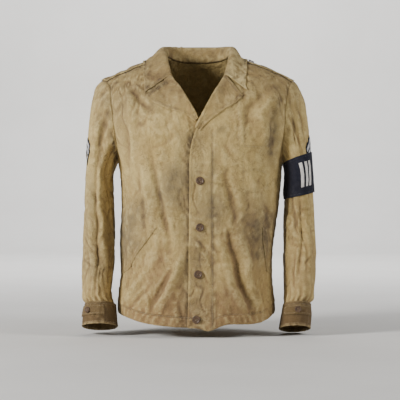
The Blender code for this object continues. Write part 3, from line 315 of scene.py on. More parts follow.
def clothMesh(name, outer, inner, material, marks, ring=False, rims=(1, 1, 1, 1)):
    # rims says which of first row, last row, first column and last column end in a rounded lip
    marks = creaseMarks(outer, unit(outer - inner), marks, ring)
    count = outer.shape[0] * outer.shape[1]
    number = np.arange(count).reshape(outer.shape[:2])
    if ring:
        number = ringClosed(number)
        loops = [number[0, :-1], number[-1, :-1][::-1]]
    else:
        loops = [np.concatenate([number[0], number[1:, -1], number[-1, :-1][::-1], number[1:-1, 0][::-1]])]
    quads = np.stack([number[:-1, :-1], number[:-1, 1:], number[1:, 1:], number[1:, :-1]], -1).reshape(-1, 4)
    away = np.zeros(outer.shape)
    asColumns = away.transpose(1, 0, 2), outer.transpose(1, 0, 2)
    edges = ((away, outer), (away, outer), asColumns, asColumns)
    for rim, (moved, grid), (last, beside) in zip(rims, edges, ((0, 1), (-1, -2)) * 2):
        if rim:
            moved[last] += unit(grid[last] - grid[beside])
    thick = np.linalg.norm(outer - inner, axis=-1, keepdims=True)
    lip = ((outer + inner) / 2 + away * thick * lipBulge).reshape(-1, 3)
    points = [outer.reshape(-1, 3), inner.reshape(-1, 3)]
    faces = [quads, quads[:, ::-1] + count]
    source = [np.arange(count), np.arange(count)]
    last = 2 * count
    for edge in loops:
        points.append(lip[edge])
        source.append(edge)
        own = last + np.arange(len(edge))
        nextOwn, after = np.roll(own, -1), np.roll(edge, -1)
        faces.append(np.stack([after, edge, own, nextOwn], -1))
        faces.append(np.stack([nextOwn, own, edge + count, after + count], -1))
        last += len(edge)
    points, faces, source = np.concatenate(points), np.concatenate(faces), np.concatenate(source)
    a, b, c, d = (points[faces[:, k]] for k in range(4))
    if np.einsum("ij,ij->", a, np.cross(b, c) + np.cross(c, d)) < 0:  # inside out
        faces = faces[:, ::-1]
    mesh = bpy.data.meshes.new(name)
    mesh.from_pydata(points.tolist(), [], faces.tolist())
    mesh.update()
    mesh.shade_smooth()
    mesh.materials.append(material)
    flat, whole = clothMap(outer, ring)
    corners = np.empty(len(mesh.loops), np.int32)
    mesh.loops.foreach_get("vertex_index", corners)
    corner = flat[source][corners].reshape(-1, 4, 2)
    if ring:  # the last cell round runs on instead of back to 0
        high = corner[..., 0].max(axis=1, keepdims=True)
        corner[..., 0] += np.where(high - corner[..., 0] > whole / 2, whole, 0)
    mesh.uv_layers.new(name="clothMap").data.foreach_set("uv", corner.ravel().astype(np.float32))
    values = marks.reshape(-1, 4)[source]
    values[2 * count :, 3] = np.maximum(values[2 * count :, 3], edgeFade)
    values[count : 2 * count, :3] *= insideDirt
    attribute = mesh.attributes.new("marks", "FLOAT_COLOR", "POINT")
    attribute.data.foreach_set("color", values.ravel().astype(np.float32))
    return linked(name, mesh)


def linked(name, data):
    piece = bpy.data.objects.new(name, data)
    bpy.context.scene.collection.objects.link(piece)
    return piece


def lineFrom(grid, out, edge, distance):  # a line on a grid at a distance from one of its edges
    if "Column" in edge:
        grid, out = grid.transpose(1, 0, 2), out.transpose(1, 0, 2)
    if "last" in edge:
        grid, out = grid[::-1], out[::-1]
    run = polyLengths(grid, 0)
    place, normal = (
        np.array([[np.interp(distance, run[:, j], kind[:, j, k]) for k in range(3)] for j in range(run.shape[1])])
        for kind in (grid, out))
    return place, unit(normal)


def edgeDistances(grid):
    across, down = polyLengths(grid, 1), polyLengths(grid, 0)
    return {"firstRow": down, "lastRow": down[-1:] - down,
            "firstColumn": across, "lastColumn": across[:, -1:] - across}


everyEdge = ("firstRow", "lastRow", "firstColumn", "lastColumn")


def edgeRub(grid, edges, reach=0.006, amount=0.5):  # pale rubbed cloth beside the edges of a piece
    far = edgeDistances(grid)
    rub = 1 - ease(np.min([far[edge] for edge in edges], axis=0), 0, reach)
    return amount * rub * (0.55 + 0.45 * noise(grid, 0.010, 3))


def lineDirt(grid, marks, edges, distance, amount=0.38, width=0.0020):  # a dark line: dirt held by a seam or a stitch line; right at the body's seams it also stands for painted shade between the parts
    worn = np.clip(0.75 + 0.55 * noise(grid, 0.028, 301), 0.1, 1.3)
    far = edgeDistances(grid)
    for edge in edges:
        marks[..., 0] += amount * worn * bell(far[edge] - distance, width)


def softThickness(grid, plain, stitchAt, edges, seed):  # a sewn edge: a soft lip, a pressed stitch line
    far = edgeDistances(grid)
    thick = plain + 0.0005 * noise(grid, 0.020, seed) + 0.0002 * noise(grid, 0.009, seed + 2)
    for edge in edges:
        along = far["firstColumn" if "Row" in edge else "firstRow"]
        wave = np.sin(along * 2 * math.pi / 0.013 + 2 * noise(grid, 0.02, seed + 4))
        thick += 0.0003 * wave * bell(far[edge] - 0.003, 0.004) - 0.0005 * bell(far[edge] - stitchAt, 0.0020)
    return np.maximum(thick, 0.0009)[..., None]


# body: one smooth surface cut into a back and two fronts

body = {
    "squareness": 2.4, "chest": -0.190, "underarm": -0.240, "hemSide": -0.624,
    "hemFrontDrop": 0.028, "hemBackDrop": 0.018, "neckHalfWidth": 0.080, "neckBackDepth": 0.070,
    "hemFine": 16, "hemFineTo": 0.034, "rows": 83, "armRows": 60, "frontFine": 24, "frontFineTo": 0.19,
    "frontColumns": 58, "halfBack": 72, "neckColumns": 24, "cloth": 0.0012, "seamGap": 0.0003,
    "hemStitch": 0.0245, "flyStitch": 0.0345, "foldDepth": 1.25, "foldWidth": 0.80,
}
power = 2 / body["squareness"]
torsoSizes = readTable(
    "level right left front back",
    "-.68 .1965 .189 .15 .136", "-.64 .1975 .191 .15 .134", "-.6 .2 .192 .149 .131",
    "-.57 .1985 .188 .147 .127", "-.53 .1935 .185 .144 .122", "-.47 .1945 .1865 .14 .117",
    "-.42 .1935 .194 .139 .114", "-.345 .1905 .2035 .141 .115", "-.29 .194 .2075 .145 .12",
    "-.24 .203 .212 .149 .126", "-.19 .221 .23 .15 .129", "-.127 .236 .24 .15 .129",
    "-.063 .253 .26 .15 .129", "-.032 .2695 .273 .15 .129", "0 .285 .285 .15 .129",
)
shoulderLine = readTable(
    "x z",
    "0 .03", ".05 .026", ".08 .018", ".105 .0095", ".135 -.002", ".185 -.0225", ".215 -.036", ".245 -.051",
    ".3 -.08",
)
frontEdges = {
    -1: readTable(
        "z x",
        "-.68 -.02", "-.3 -.02", "-.215 -.019", "-.19 -.015", "-.168 -.007", "-.15 .002", "-.117 .02",
        "-.097 .0315", "-.071 .048", "-.044 .067", "-.018 .0755", "0 .0785", ".018 .08", ".04 .081",
    ),
    1: readTable(
        "z x",
        "-.68 -.0262", "-.55 -.0215", "-.3 -.0212", "-.235 -.0195", "-.2 -.013", "-.168 -.001",
        "-.148 .0085", "-.117 .025", "-.097 .036", "-.071 .051", "-.044 .067", "-.018 .075", "0 .0785",
        ".018 .08", ".04 .081",
    ),
}
hemSag = readTable(  # the hem's outline seen from the front
    "x down",
    "-.2 .002", "-.15 0", "-.035 .001", ".005 -.002", ".025 -.0065", ".046 -.001", ".064 .0045", ".103 .002",
    ".137 -.004", ".167 -.005", ".184 0",
)
frontFolds = readTable(  # seen from the front: three places of each fold, its width, and out or in
    "x1 z1 x2 z2 x3 z3 width depth",
    ".074 -.43 .106 -.545 .13 -.612 .012 -.0105", ".094 -.4 .118 -.5 .14 -.585 .012 .006",
    ".055 -.45 .084 -.55 .108 -.615 .015 .005", "-.026 -.455 -.064 -.545 -.096 -.61 .015 .0085",
    "-.058 -.51 -.086 -.56 -.112 -.6 .011 -.008", "-.112 -.235 -.093 -.33 -.068 -.465 .01 -.0052",
    "-.135 -.24 -.122 -.33 -.104 -.44 .018 .004", ".192 -.086 .154 -.141 .16 -.215 .013 .006",
    ".17 -.075 .128 -.12 .118 -.17 .014 -.0045", ".182 -.13 .181 -.18 .186 -.235 .011 -.005",
    "-.168 -.06 -.144 -.098 -.108 -.132 .012 -.0055", "-.176 -.085 -.16 -.15 -.158 -.25 .014 .0045",
    "-.174 -.17 -.172 -.24 -.168 -.31 .01 -.0045", ".066 -.27 .08 -.35 .098 -.43 .011 -.0048",
    ".046 -.28 .06 -.36 .078 -.44 .014 .0035", ".13 -.26 .14 -.35 .15 -.43 .016 .004",
    # smaller creases
    "-.143 -.268 -.138 -.33 -.134 -.393 .007 -.0018", "-.125 -.3 -.118 -.36 -.108 -.42 .008 .0014",
    "-.143 -.536 -.165 -.57 -.186 -.598 .009 .0034", "-.118 -.556 -.15 -.588 -.172 -.612 .007 -.0028",
    "-.019 -.4287 .05 -.4297 .12 -.428 .0045 -.0011", "-.15 -.428 -.09 -.429 -.028 -.4287 .0045 -.0008",
    ".0765 -.55 .11 -.5515 .143 -.55 .0045 -.0018", ".138 -.562 .142 -.57 .134 -.577 .0045 -.0014",
    ".0526 -.326 .068 -.4 .08 -.45 .008 -.003", "-.0055 -.4335 .01 -.455 .0253 -.474 .006 -.0026",
    "0 -.445 .004 -.47 .022 -.486 .006 .0016", ".04 -.47 .06 -.54 .075 -.6 .012 .0022",
    ".15 -.5 .16 -.55 .165 -.6 .01 -.0026", ".172 -.33 .166 -.4 .16 -.45 .009 -.0024",
    ".1 -.1 .104 -.15 .1 -.21 .009 .0014", ".06 -.21 .08 -.24 .11 -.255 .01 -.0018",
    "-.06 -.19 -.085 -.215 -.12 -.225 .01 -.0016", "-.04 -.24 -.05 -.3 -.04 -.37 .012 -.002",
    "-.09 -.095 -.1 -.15 -.095 -.205 .014 .0018", "-.15 -.44 -.162 -.48 -.168 -.52 .009 -.0024",
    "-.1 -.44 -.12 -.5 -.15 -.545 .012 .0024", "-.035 -.56 -.045 -.6 -.04 -.64 .008 -.002",
    ".044 -.56 .05 -.6 .046 -.64 .007 -.002", "-.128 -.575 -.12 -.6 -.124 -.625 .007 .002",
)
backFolds = readTable(
    "x1 z1 x2 z2 x3 z3 width depth",
    "-.15 -.12 -.13 -.23 -.128 -.34 .016 -.0052", ".152 -.125 .134 -.225 .126 -.33 .016 -.0052",
    "-.116 -.15 -.1 -.26 -.104 -.38 .02 .004", ".118 -.14 .104 -.255 .1 -.37 .02 .004",
    "-.06 -.4 -.072 -.5 -.066 -.61 .018 .006", "-.03 -.42 -.034 -.51 -.024 -.615 .014 -.0055",
    ".052 -.41 .046 -.51 .058 -.612 .018 .006", ".096 -.43 .092 -.52 .1 -.61 .014 -.0055",
    "-.11 -.44 -.112 -.53 -.104 -.6 .014 -.0048", "0 -.23 .006 -.33 .002 -.42 .022 -.0035",
    # smaller creases
    "-.06 -.06 -.09 -.1 -.14 -.12 .01 -.0022", ".05 -.05 .085 -.095 .136 -.128 .011 -.0024",
    ".02 -.11 .06 -.15 .11 -.165 .012 .0018", "-.04 -.18 -.046 -.25 -.03 -.33 .01 -.0022",
    ".06 -.2 .052 -.27 .06 -.35 .009 -.002", "-.09 -.3 -.06 -.33 -.01 -.345 .009 -.0018",
    ".03 -.38 .07 -.395 .12 -.39 .008 -.0018", "-.16 -.35 -.15 -.43 -.156 -.51 .01 -.0026",
    ".16 -.34 .152 -.44 .154 -.53 .011 -.0024", ".014 -.45 .02 -.53 .014 -.6 .01 .0026",
    "-.084 -.48 -.09 -.54 -.086 -.61 .009 .0024", ".126 -.52 .128 -.57 .122 -.62 .009 .0024",
)


def climb(level):
    return np.sin(np.clip((level - body["chest"]) / -body["chest"], 0, 1) * math.pi / 2)


def heightAt(level, x):
    shoulder = curve(shoulderLine, "z", np.abs(x))
    chest = body["chest"]
    return np.where(level <= chest, level, chest + (shoulder - chest) * climb(level))


def torsoSurface(turn, level):
    side, fore = np.sin(turn), np.cos(turn)
    left = curve(torsoSizes, "left", level)
    right = curve(torsoSizes, "right", level)
    x = np.where(side < 0, right, left) * np.sign(side) * np.abs(side) ** power
    over = climb(level)
    outward = ease(np.abs(x), 0.06, 0.20)
    bend = np.where(fore > 0, 1.90 + 0.20 * outward, 2.40 - 0.20 * outward)
    fill = np.where(fore > 0, 1.30 + 0.65 * outward, 2.10 - 0.10 * outward)
    front = curve(torsoSizes, "front", level)
    back = curve(torsoSizes, "back", level)
    depth = np.where(fore > 0, front, back) * (1 - over**bend) ** (1 / fill)
    y = -depth * np.sign(fore) * np.abs(fore) ** power
    return np.stack([x, y, heightAt(level, x)], axis=-1)


quarterTurns = np.linspace(0, math.pi / 2, 400)
quarterX, quarterY = 0.20 * np.sin(quarterTurns) ** power, 0.14 * np.cos(quarterTurns) ** power
quarterRun = np.concatenate([[0], np.cumsum(np.hypot(np.diff(quarterX), np.diff(quarterY)))])
quarterRun = quarterRun / quarterRun[-1]


def turnAt(share):
    return np.sign(share) * np.interp(np.abs(share), quarterRun, quarterTurns)


def shareAt(turn):
    return np.sign(turn) * np.interp(np.abs(turn), quarterTurns, quarterRun)


def armholeCut():
    angle = np.linspace(-90, 90, body["armRows"] + 1)
    low = np.minimum(angle, 0)
    below = body["chest"] + (body["chest"] - body["underarm"]) * np.sin(np.radians(low))
    level = np.where(angle < 0, below, body["chest"] * (1 - angle / 90))
    narrow = np.cos(np.radians(low)) ** 0.9
    high = np.maximum(angle, 0) / 90
    front = (0.50 + 0.13 * high) * narrow
    back = (0.60 + 0.03 * high) * narrow
    return level, np.arccos(front ** (1 / power)), np.arccos(back ** (1 / power))


def edgeTurn(side, level):
    edge = frontEdges[side]
    x = curve(edge, "x", level)
    for _ in range(20):
        x = curve(edge, "x", heightAt(level, x))
    halfWidth = curve(torsoSizes, "left" if side > 0 else "right", level)
    return side * np.sign(x) * np.arcsin((np.abs(x) / halfWidth) ** (1 / power))


def hemLevel(turn):
    fore = np.cos(turn)
    return body["hemSide"] - fore * fore * np.where(fore > 0, body["hemFrontDrop"], body["hemBackDrop"])


# rows lie closer together in the hem, and columns beside the front edges
bodyLength = body["underarm"] - body["hemSide"]
hemPart = body["hemFineTo"] / bodyLength
rowShares = np.concatenate([
    np.linspace(0, hemPart, body["hemFine"] + 1)[:-1], np.linspace(hemPart, 1, body["rows"] + 1)[:-1]])
bodyRows = len(rowShares)
frontShares = np.concatenate([
    np.linspace(0, body["frontFineTo"], body["frontFine"] + 1)[:-1],
    np.linspace(body["frontFineTo"], 1, body["frontColumns"] + 1)])
gorgeRow = bodyRows + body["armRows"] * 6 // 10


def evenLevels():
    rise = np.linspace(0, 1, body["armRows"] + 1)
    low = body["hemSide"] + bodyLength * rowShares
    return np.concatenate([low, body["underarm"] * (1 - rise)]), np.concatenate([0 * rowShares, rise])


def spread(start, cut, columns, rise):
    wide = start[:, None] + (1 - start[:, None]) * columns
    return wide - (1 - shareAt(cut))[:, None] * columns ** (3 - 2 * rise[:, None])


def panelLevels(levels, upper, columns, turn):
    level = np.repeat(levels[:, None], columns.size, axis=1)
    weight = columns**3
    level[bodyRows:] = level[bodyRows:] * (1 - weight) + upper[:, None] * weight
    low = hemLevel(turn[:bodyRows])
    level[:bodyRows] = low + (body["underarm"] - low) * rowShares[:, None]
    return level


def frontGrid(side):
    upper, cut, _ = armholeCut()
    levels, rise = evenLevels()
    start = shareAt(side * edgeTurn(side, levels))
    cut = np.concatenate([np.full(bodyRows, math.pi / 2), cut])
    turn = side * turnAt(spread(start, cut, frontShares, rise))
    level = panelLevels(levels, upper, frontShares, turn)
    level[-1] = -1e-5
    return (turn, level) if side > 0 else (turn[:, ::-1], level[:, ::-1])


def backGrid():
    upper, _, cut = armholeCut()
    levels, rise = evenLevels()
    columns = np.linspace(0, 1, body["halfBack"] + 1)
    cut = np.concatenate([np.full(bodyRows, math.pi / 2), cut])
    turn = turnAt(spread(np.zeros(levels.shape), cut, columns, rise))
    level = panelLevels(levels, upper, columns, math.pi - turn)
    angle = np.linspace(0, math.pi / 2, body["neckColumns"] + 1)
    neckX = body["neckHalfWidth"] * np.sin(angle) ** 0.77
    neckY = body["neckBackDepth"] * np.cos(angle) ** 0.77
    low, high = np.full(neckX.shape, body["chest"]), np.zeros(neckX.shape)
    for _ in range(40):
        neckTop = (low + high) / 2
        half = curve(torsoSizes, "left", neckTop)
        neckTurn = np.arcsin((neckX / half) ** (1 / power))
        behind = torsoSurface(math.pi - neckTurn, neckTop)[:, 1] > neckY
        low, high = np.where(behind, neckTop, low), np.where(behind, high, neckTop)
    neckTop = np.where(angle > 1.57, -1e-5, neckTop)
    seamWidth = curve(torsoSizes, "left", 0.0)
    seamEnd = seamWidth * np.sin(cut[-1]) ** power
    seamX = np.linspace(body["neckHalfWidth"], seamEnd, body["halfBack"] - body["neckColumns"] + 1)[1:]
    topTurn = np.concatenate([neckTurn, np.arcsin((seamX / seamWidth) ** (1 / power))])
    top = np.concatenate([neckTop, np.full(seamX.size, -1e-5)])
    turn = turn + rise[:, None] ** 2 * (topTurn - turn[-1])
    level = level + rise[:, None] * top
    turn = np.concatenate([-turn[:, :0:-1], turn], axis=1) + math.pi
    level = np.concatenate([level[:, :0:-1], level], axis=1)
    return turn, level


def crumple(points, soft=1.0):  # the small unevenness of worn cotton, the same on both sides of a seam
    warp = warped(points, 0.012, 0.050, (41, 43, 47))
    lean = warp.copy()
    lean[..., 0] += 0.30 * warp[..., 2]

    def ridges(place, scale, seed, sharp, where, whereSeed, low, high):
        crest = (1 - np.abs(noise(place, scale, seed))) ** sharp
        return crest * ease(noise(points, where, whereSeed), low, high)

    wide = noise(points, (0.034, 0.034, 0.130), 1) * 0.0016 + noise(warp, (0.022, 0.022, 0.036), 13) * 0.0009
    upright = ridges(lean, (0.019, 0.019, 0.085), 17, 5, 0.085, 19, -0.25, 0.5)
    narrow = ridges(lean, (0.0125, 0.0125, 0.060), 37, 4, 0.06, 39, -0.1, 0.5)
    slanted = ridges(warp, (0.045, 0.045, 0.021), 27, 7, 0.07, 29, 0.0, 0.6)
    fine = noise(warp, 0.0105, 23) * 0.00034
    return soft * (wide - 0.0028 * upright - 0.0017 * slanted - 0.0018 * narrow) + fine


def bodyRelief(points, turn, level):
    x, y, z = np.moveaxis(warped(points, 0.005, 0.060, (51, 53, 57)), -1, 0)
    front = foldHeight(frontFolds, x, z, narrow=body["foldWidth"]) * ease(-y, -0.02, 0.03)
    back = foldHeight(backFolds, x, z, narrow=body["foldWidth"]) * ease(y, -0.02, 0.03)
    relief = body["foldDepth"] * (front + back) + crumple(points)
    rise = level - hemLevel(turn)
    around = np.abs(turn) * 0.17
    roping = np.sin((around * 2 * math.pi + rise * 2.2) / 0.0165 + 3.4 * noise(points, 0.040, 61))
    tug = 0.5 + 0.5 * noise(points, 0.05, 63)
    relief += (1 - ease(rise, 0.024, 0.030)) * ease(rise, 0.0, 0.006) * (0.0008 + 0.0015 * roping * tug)
    relief -= bell(rise - body["hemStitch"], 0.0024) * (0.0014 + 0.0008 * roping)
    above = ease(rise, 0.025, 0.029) * (1 - ease(rise, 0.029, 0.052))
    relief += above * 0.0008 * np.sin(around * 2 * math.pi / 0.024 + 3 * noise(points, 0.05, 67))
    side = np.abs(points[..., 1])
    relief -= 0.0007 * bell(side, 0.003) * (level < -0.005)
    tuck = np.sin(points[..., 2] * 2 * math.pi / 0.026 + 3 * noise(points, (1, 1, 0.03), 71))
    return relief + 0.0007 * tuck * bell(side, 0.016) * (1 - bell(side, 0.003)) * (level < -0.02)


def sagging(points, turn, level):
    share = (1 - ease(level - hemLevel(turn), 0.004, 0.055)) * ease(-points[..., 1], 0.02, 0.07)
    points[..., 2] += share * curve(hemSag, "down", points[..., 0])


def tuckUnder(points, out):
    depth = 0.0044 * ease(points[..., 0], -0.052, -0.030) * ease(-points[..., 2], 0.115, 0.150)
    return points - out * depth[..., None]


def flyRelief(points):  # the wearer's left front: fly stitching, old chest stitching and its puckers
    x, z = points[..., 0], points[..., 2]
    below = ease(-z, 0.150, 0.185)
    relief = -bell(x - body["flyStitch"], 0.0026) * 0.0009 * below
    inside = ease(x, -0.019, -0.010) * (1 - ease(x, 0.026, 0.034))
    pucker = np.sin(z * 2 * math.pi / 0.021 + 2.6 * noise(points, (0.05, 0.05, 0.03), 81) + x * 60)
    relief += inside * below * 0.0006 * pucker * (0.5 + 0.5 * noise(points, 0.07, 83))
    beside = ease(x, 0.035, 0.039) * (1 - ease(x, 0.040, 0.060))
    relief += beside * below * 0.0007 * np.sin(z * 2 * math.pi / 0.027 + 2 * noise(points, 0.05, 85))
    return relief - 0.0005 * oldStitchShare(x, z, 0.0028)


oldArc = [(0.106 + 0.058 * s, -0.279 + 0.007 * math.sin(math.pi * s)) for s in np.linspace(0, 1, 7)]
oldStitches = (  # pale lines of an earlier chest pocket
    [(0.0968, -0.100), (0.0972, -0.160), (0.0975, -0.214)],
    [(0.1135, -0.096), (0.1130, -0.150), (0.1128, -0.214)],
    [(0.0975, -0.2150), (0.135, -0.2165), (0.170, -0.2150)],
    [(0.1095, -0.232), (0.1090, -0.270), (0.1090, -0.306)],
    oldArc,
)


def oldStitchShare(x, z, width):
    return sum(bell(legDistance(x, z, a, b)[0], width) for line in oldStitches for a, b in zip(line, line[1:]))


def armholePucker(outer, out, near):  # small gathers beside the sleeve seam
    part, away = outer[bodyRows:], out[bodyRows:]
    run = polyLengths(part, 1)
    far = run if near == 0 else run[:, -1:] - run
    along = polyLengths(part, 0)
    wave = np.sin(along * 2 * math.pi / 0.024 + 3 * noise(part, 0.04, 91))
    lift = 0.0009 * wave * (1 - bell(far, 0.004)) * bell(far, 0.020) - 0.0006 * bell(far - 0.0065, 0.003)
    outer[bodyRows:] = part + away * lift[..., None]


def bodyPanels():
    halfGap = body["seamGap"] / 2
    shaped = {}
    for name, side in (("front_right", -1), ("front_left", 1)):
        turn, level = frontGrid(side)
        base = torsoSurface(turn, level)
        out = gridNormals(base)
        relief = bodyRelief(base, turn, level)
        if side > 0:
            relief += flyRelief(base)
        outer = base + out * relief[..., None]
        sagging(outer, turn, level)
        outer = tuckUnder(outer, out) if side < 0 else outer
        armColumn = -1 if side > 0 else 0
        armholePucker(outer, out, armColumn)
        outer[-1, :, 1] = -halfGap
        outer[: bodyRows + 1, armColumn, 1] = -halfGap
        shaped[name] = [outer, gridNormals(outer)]
    turn, level = backGrid()
    base = torsoSurface(turn, level)
    out = gridNormals(base)
    outer = base + out * bodyRelief(base, turn - 2 * math.pi * (turn > math.pi), level)[..., None]
    for armColumn in (0, -1):
        armholePucker(outer, out, armColumn)
    outer[-1, np.abs(outer[-1, :, 0]) > body["neckHalfWidth"] - 0.003, 1] = halfGap
    for armColumn in (0, -1):
        outer[: bodyRows + 1, armColumn, 1] = halfGap
    shaped["back"] = [outer, gridNormals(outer)]
    for outer, out in shaped.values():
        for line, lineOut in ((outer[:, 0], out[:, 0]), (outer[:, -1], out[:, -1]), (outer[-1], out[-1])):
            onSeam = np.abs(line[:, 1]) < 2 * halfGap
            lineOut[onSeam] = flatten(lineOut[onSeam], (0, 1, 0))
    return shaped


# sleeves with their cuffs, tabs, patches and armband

sleeve = {
    "capRows": 24, "rows": 72, "evenTo": -0.575, "tiltOut": 0.30, "tiltFore": 0.24, "elbow": 0.50,
    "underarmEase": 0.0016, "foldWidth": 0.68, "foldDepth": 1.5, "cloth": 0.0012, "perDegree": 0.0012,
    "pleats": 15, "pleatDepth": 0.0019, "seamStitch": 0.0065,
}
freeSleeves = {
    -1: readTable(
        "z outer inner front back",
        "-.285 .2795 .2105 -.086 .08", "-.33 .2825 .2095 -.085 .077", "-.38 .285 .2085 -.084 .073",
        "-.43 .2865 .207 -.086 .066", "-.48 .2885 .206 -.089 .056", "-.53 .289 .209 -.094 .042",
        "-.575 .286 .213 -.099 .026", "-.592 .284 .211 -.1 .018", "-.601 .2778 .2058 -.0982 .0108",
        "-.616 .2768 .2058 -.098 .01",
    ),
    1: readTable(
        "z outer inner front back",
        "-.285 .2835 .2165 -.086 .08", "-.33 .2865 .215 -.085 .077", "-.38 .289 .213 -.084 .073",
        "-.43 .2905 .2125 -.086 .066", "-.48 .292 .213 -.089 .056", "-.53 .291 .213 -.094 .042",
        "-.575 .287 .213 -.099 .026", "-.592 .2835 .2125 -.1 .018", "-.601 .2758 .2118 -.0982 .0108",
        "-.616 .2748 .2115 -.098 .01",
    ),
}
cuffSizes = {
    -1: readTable(
        "z outer inner front back",
        "-.604 .2805 .202 -.1015 .014", "-.62 .283 .2005 -.103 .013", "-.64 .2855 .199 -.104 .011",
        "-.657 .2865 .1985 -.104 .0095",
    ),
    1: readTable(
        "z outer inner front back",
        "-.604 .2788 .2085 -.1015 .014", "-.62 .2795 .2065 -.103 .013", "-.64 .2785 .203 -.104 .011",
        "-.662 .2765 .2 -.104 .0095",
    ),
}
sleeveFolds = {  # around is the angle from the outer side, by the front, in degrees
    -1: readTable(
        "around1 z1 around2 z2 around3 z3 width depth",
        "64 -.13 84 -.3 104 -.52 15 -.0062", "92 -.12 120 -.22 142 -.34 15 -.0062",
        "78 -.22 100 -.38 130 -.54 17 .0048", "40 -.16 52 -.33 70 -.54 18 .0035",
        "290 -.15 272 -.3 252 -.5 20 -.0055", "240 -.18 228 -.33 216 -.52 20 .0045",
        "322 -.14 314 -.26 304 -.44 18 .004", "50 -.075 66 -.12 74 -.18 9 -.0026",
        "110 -.09 112 -.15 126 -.2 9 .0024", "36 -.44 64 -.455 92 -.478 6 -.0022",
        "30 -.49 56 -.5 84 -.505 5 -.0018", "70 -.33 92 -.35 118 -.345 6 -.0018",
        "118 -.42 96 -.47 88 -.56 9 -.003", "50 -.38 58 -.47 60 -.56 10 -.0024",
        "150 -.38 158 -.46 150 -.55 12 .0026", "268 -.33 292 -.35 320 -.345 8 -.0024",
        "254 -.37 276 -.395 306 -.392 8 -.0024", "262 -.41 284 -.425 310 -.44 8 -.002",
    ),
    1: readTable(
        "around1 z1 around2 z2 around3 z3 width depth",
        "75 -.085 92 -.16 96 -.235 14 .0052", "48 -.085 62 -.16 70 -.235 14 -.0052",
        "108 -.11 122 -.17 126 -.24 14 -.0058", "94 -.35 86 -.43 98 -.53 16 -.0055",
        "124 -.35 138 -.42 150 -.52 17 .0045", "60 -.36 56 -.45 66 -.56 18 .0036",
        "282 -.15 270 -.3 255 -.49 20 -.0055", "240 -.18 228 -.33 220 -.52 20 .0045",
        "318 -.36 310 -.45 300 -.55 18 .004", "30 -.075 38 -.13 44 -.2 8 -.003",
        "20 -.08 22 -.14 26 -.21 8 .0024", "64 -.07 76 -.12 80 -.18 8 -.0028",
        "130 -.33 112 -.39 104 -.45 10 -.003", "76 -.4 66 -.48 70 -.56 9 -.0024",
        "112 -.46 122 -.52 116 -.575 9 -.0028", "44 -.47 70 -.492 98 -.49 6 -.0016",
        "52 -.37 80 -.372 106 -.385 6 -.0016", "266 -.35 290 -.372 322 -.366 8 -.0024",
        "256 -.4 280 -.418 306 -.43 8 -.0022",
    ),
}
cuffTab = {"middle": -0.6235, "halfHeight": 0.0115, "spans": {-1: (0, 36), 1: (12, 48)}, "cloth": 0.0017,
           "stitch": 0.0035}
cuffWall = {"rows": 22, "cloth": 0.0019, "stitch": 0.0055}
patch = {"apex": {-1: -0.190, 1: -0.184}, "slope": 0.66, "height": 0.036, "halfColumns": 12, "forward": 4,
         "cloth": 0.0011, "stitch": 0.0022, "bars": ((0.14, 0.36), (0.54, 0.76))}
band = {"top": -0.256, "topSlope": 0.42, "bottom": -0.343, "bottomSlope": 0.26, "innerX": 0.2135, "cloth": 0.0017,
        "stitch": 0.005, "bars": ((46, 55), (62.5, 71.5), (79, 88)), "barSpan": (0.17, 0.80)}
strip = {"lift": 0.0001, "thick": 0.0006}
gaps = {"laid": 0.0014, "trim": 0.0005, "seam": 0.0003}


def sleeveRing(shape, side, z, around):
    outer, inner, front, back = (
        smooth(shape["z"][::-1], shape[name][::-1], z) for name in ("outer", "inner", "front", "back"))
    x = (outer + inner) / 2 + (outer - inner) / 2 * np.cos(around)
    y = (front + back) / 2 - (back - front) / 2 * np.sin(around)
    falling = ease(-z, 0.285, sleeve["elbow"])
    tilt = sleeve["tiltOut"] * (1 - falling) * (x - (outer + inner) / 2)
    tilt -= sleeve["tiltFore"] * falling * (y - (front + back) / 2)
    return np.stack([side * x, y, z + tilt], axis=-1)


ringTurns = np.arange(2 * body["armRows"]) * math.pi / body["armRows"]


def sleeveGrid(side, loop, leave):
    shape = freeSleeves[side]
    first = shape["z"][0]
    target = sleeveRing(shape, side, first, ringTurns)
    down = unit(sleeveRing(shape, side, first - 0.01, ringTurns) - target)
    reach = np.linalg.norm(target - loop, axis=-1, keepdims=True)
    top = np.cos(ringTurns / 2)[:, None] ** 2
    rows = []
    for t in np.linspace(0, 1, sleeve["capRows"] + 1):
        start = (1 + 2 * t) * (1 - t) ** 2 * loop + t * (1 - t) ** 2 * leave * reach * (0.40 + 0.28 * top)
        rows.append(start + t * t * (3 - 2 * t) * target + t * t * (t - 1) * down * reach * 0.85)
    levels = (first, sleeve["evenTo"], -0.592, -0.601, -0.616)
    for high, low, count in zip(levels, levels[1:], (sleeve["rows"], 5, 4, 4)):
        rows += [sleeveRing(shape, side, z, ringTurns) for z in np.linspace(high, low, count + 1)[1:]]
    grid = np.array(rows)
    z = grid[..., 2]
    angle = (np.degrees(ringTurns) + 5 * noise(grid, 0.050, 111)) * sleeve["perDegree"]
    relief = foldHeight(sleeveFolds[side], angle, z + 0.006 * noise(grid, 0.050, 113), ("around", "z"),
                        sleeve["perDegree"], sleeve["foldWidth"])
    row = np.arange(len(grid))[:, None] * 1.0
    relief = (sleeve["foldDepth"] * relief + crumple(grid, 1.35)) * ease(row, 0.0, 8.0) * ease(z, -0.60, -0.56)
    gathers = np.sin(ringTurns * sleeve["pleats"] + 2.4 * noise(grid, (0.05, 0.05, 0.2), 117))
    relief += sleeve["pleatDepth"] * gathers * ease(-z, 0.535, 0.588) * (1 - ease(-z, 0.590, 0.600))
    puckers = np.sin(ringTurns * 21 + 3 * noise(grid, 0.06, 119)) * bell(row - 3.2, 2.4) * ease(row, 0, 2.5)
    relief += 0.0011 * puckers
    return grid + gridNormals(grid, ring=True) * side * relief[..., None]


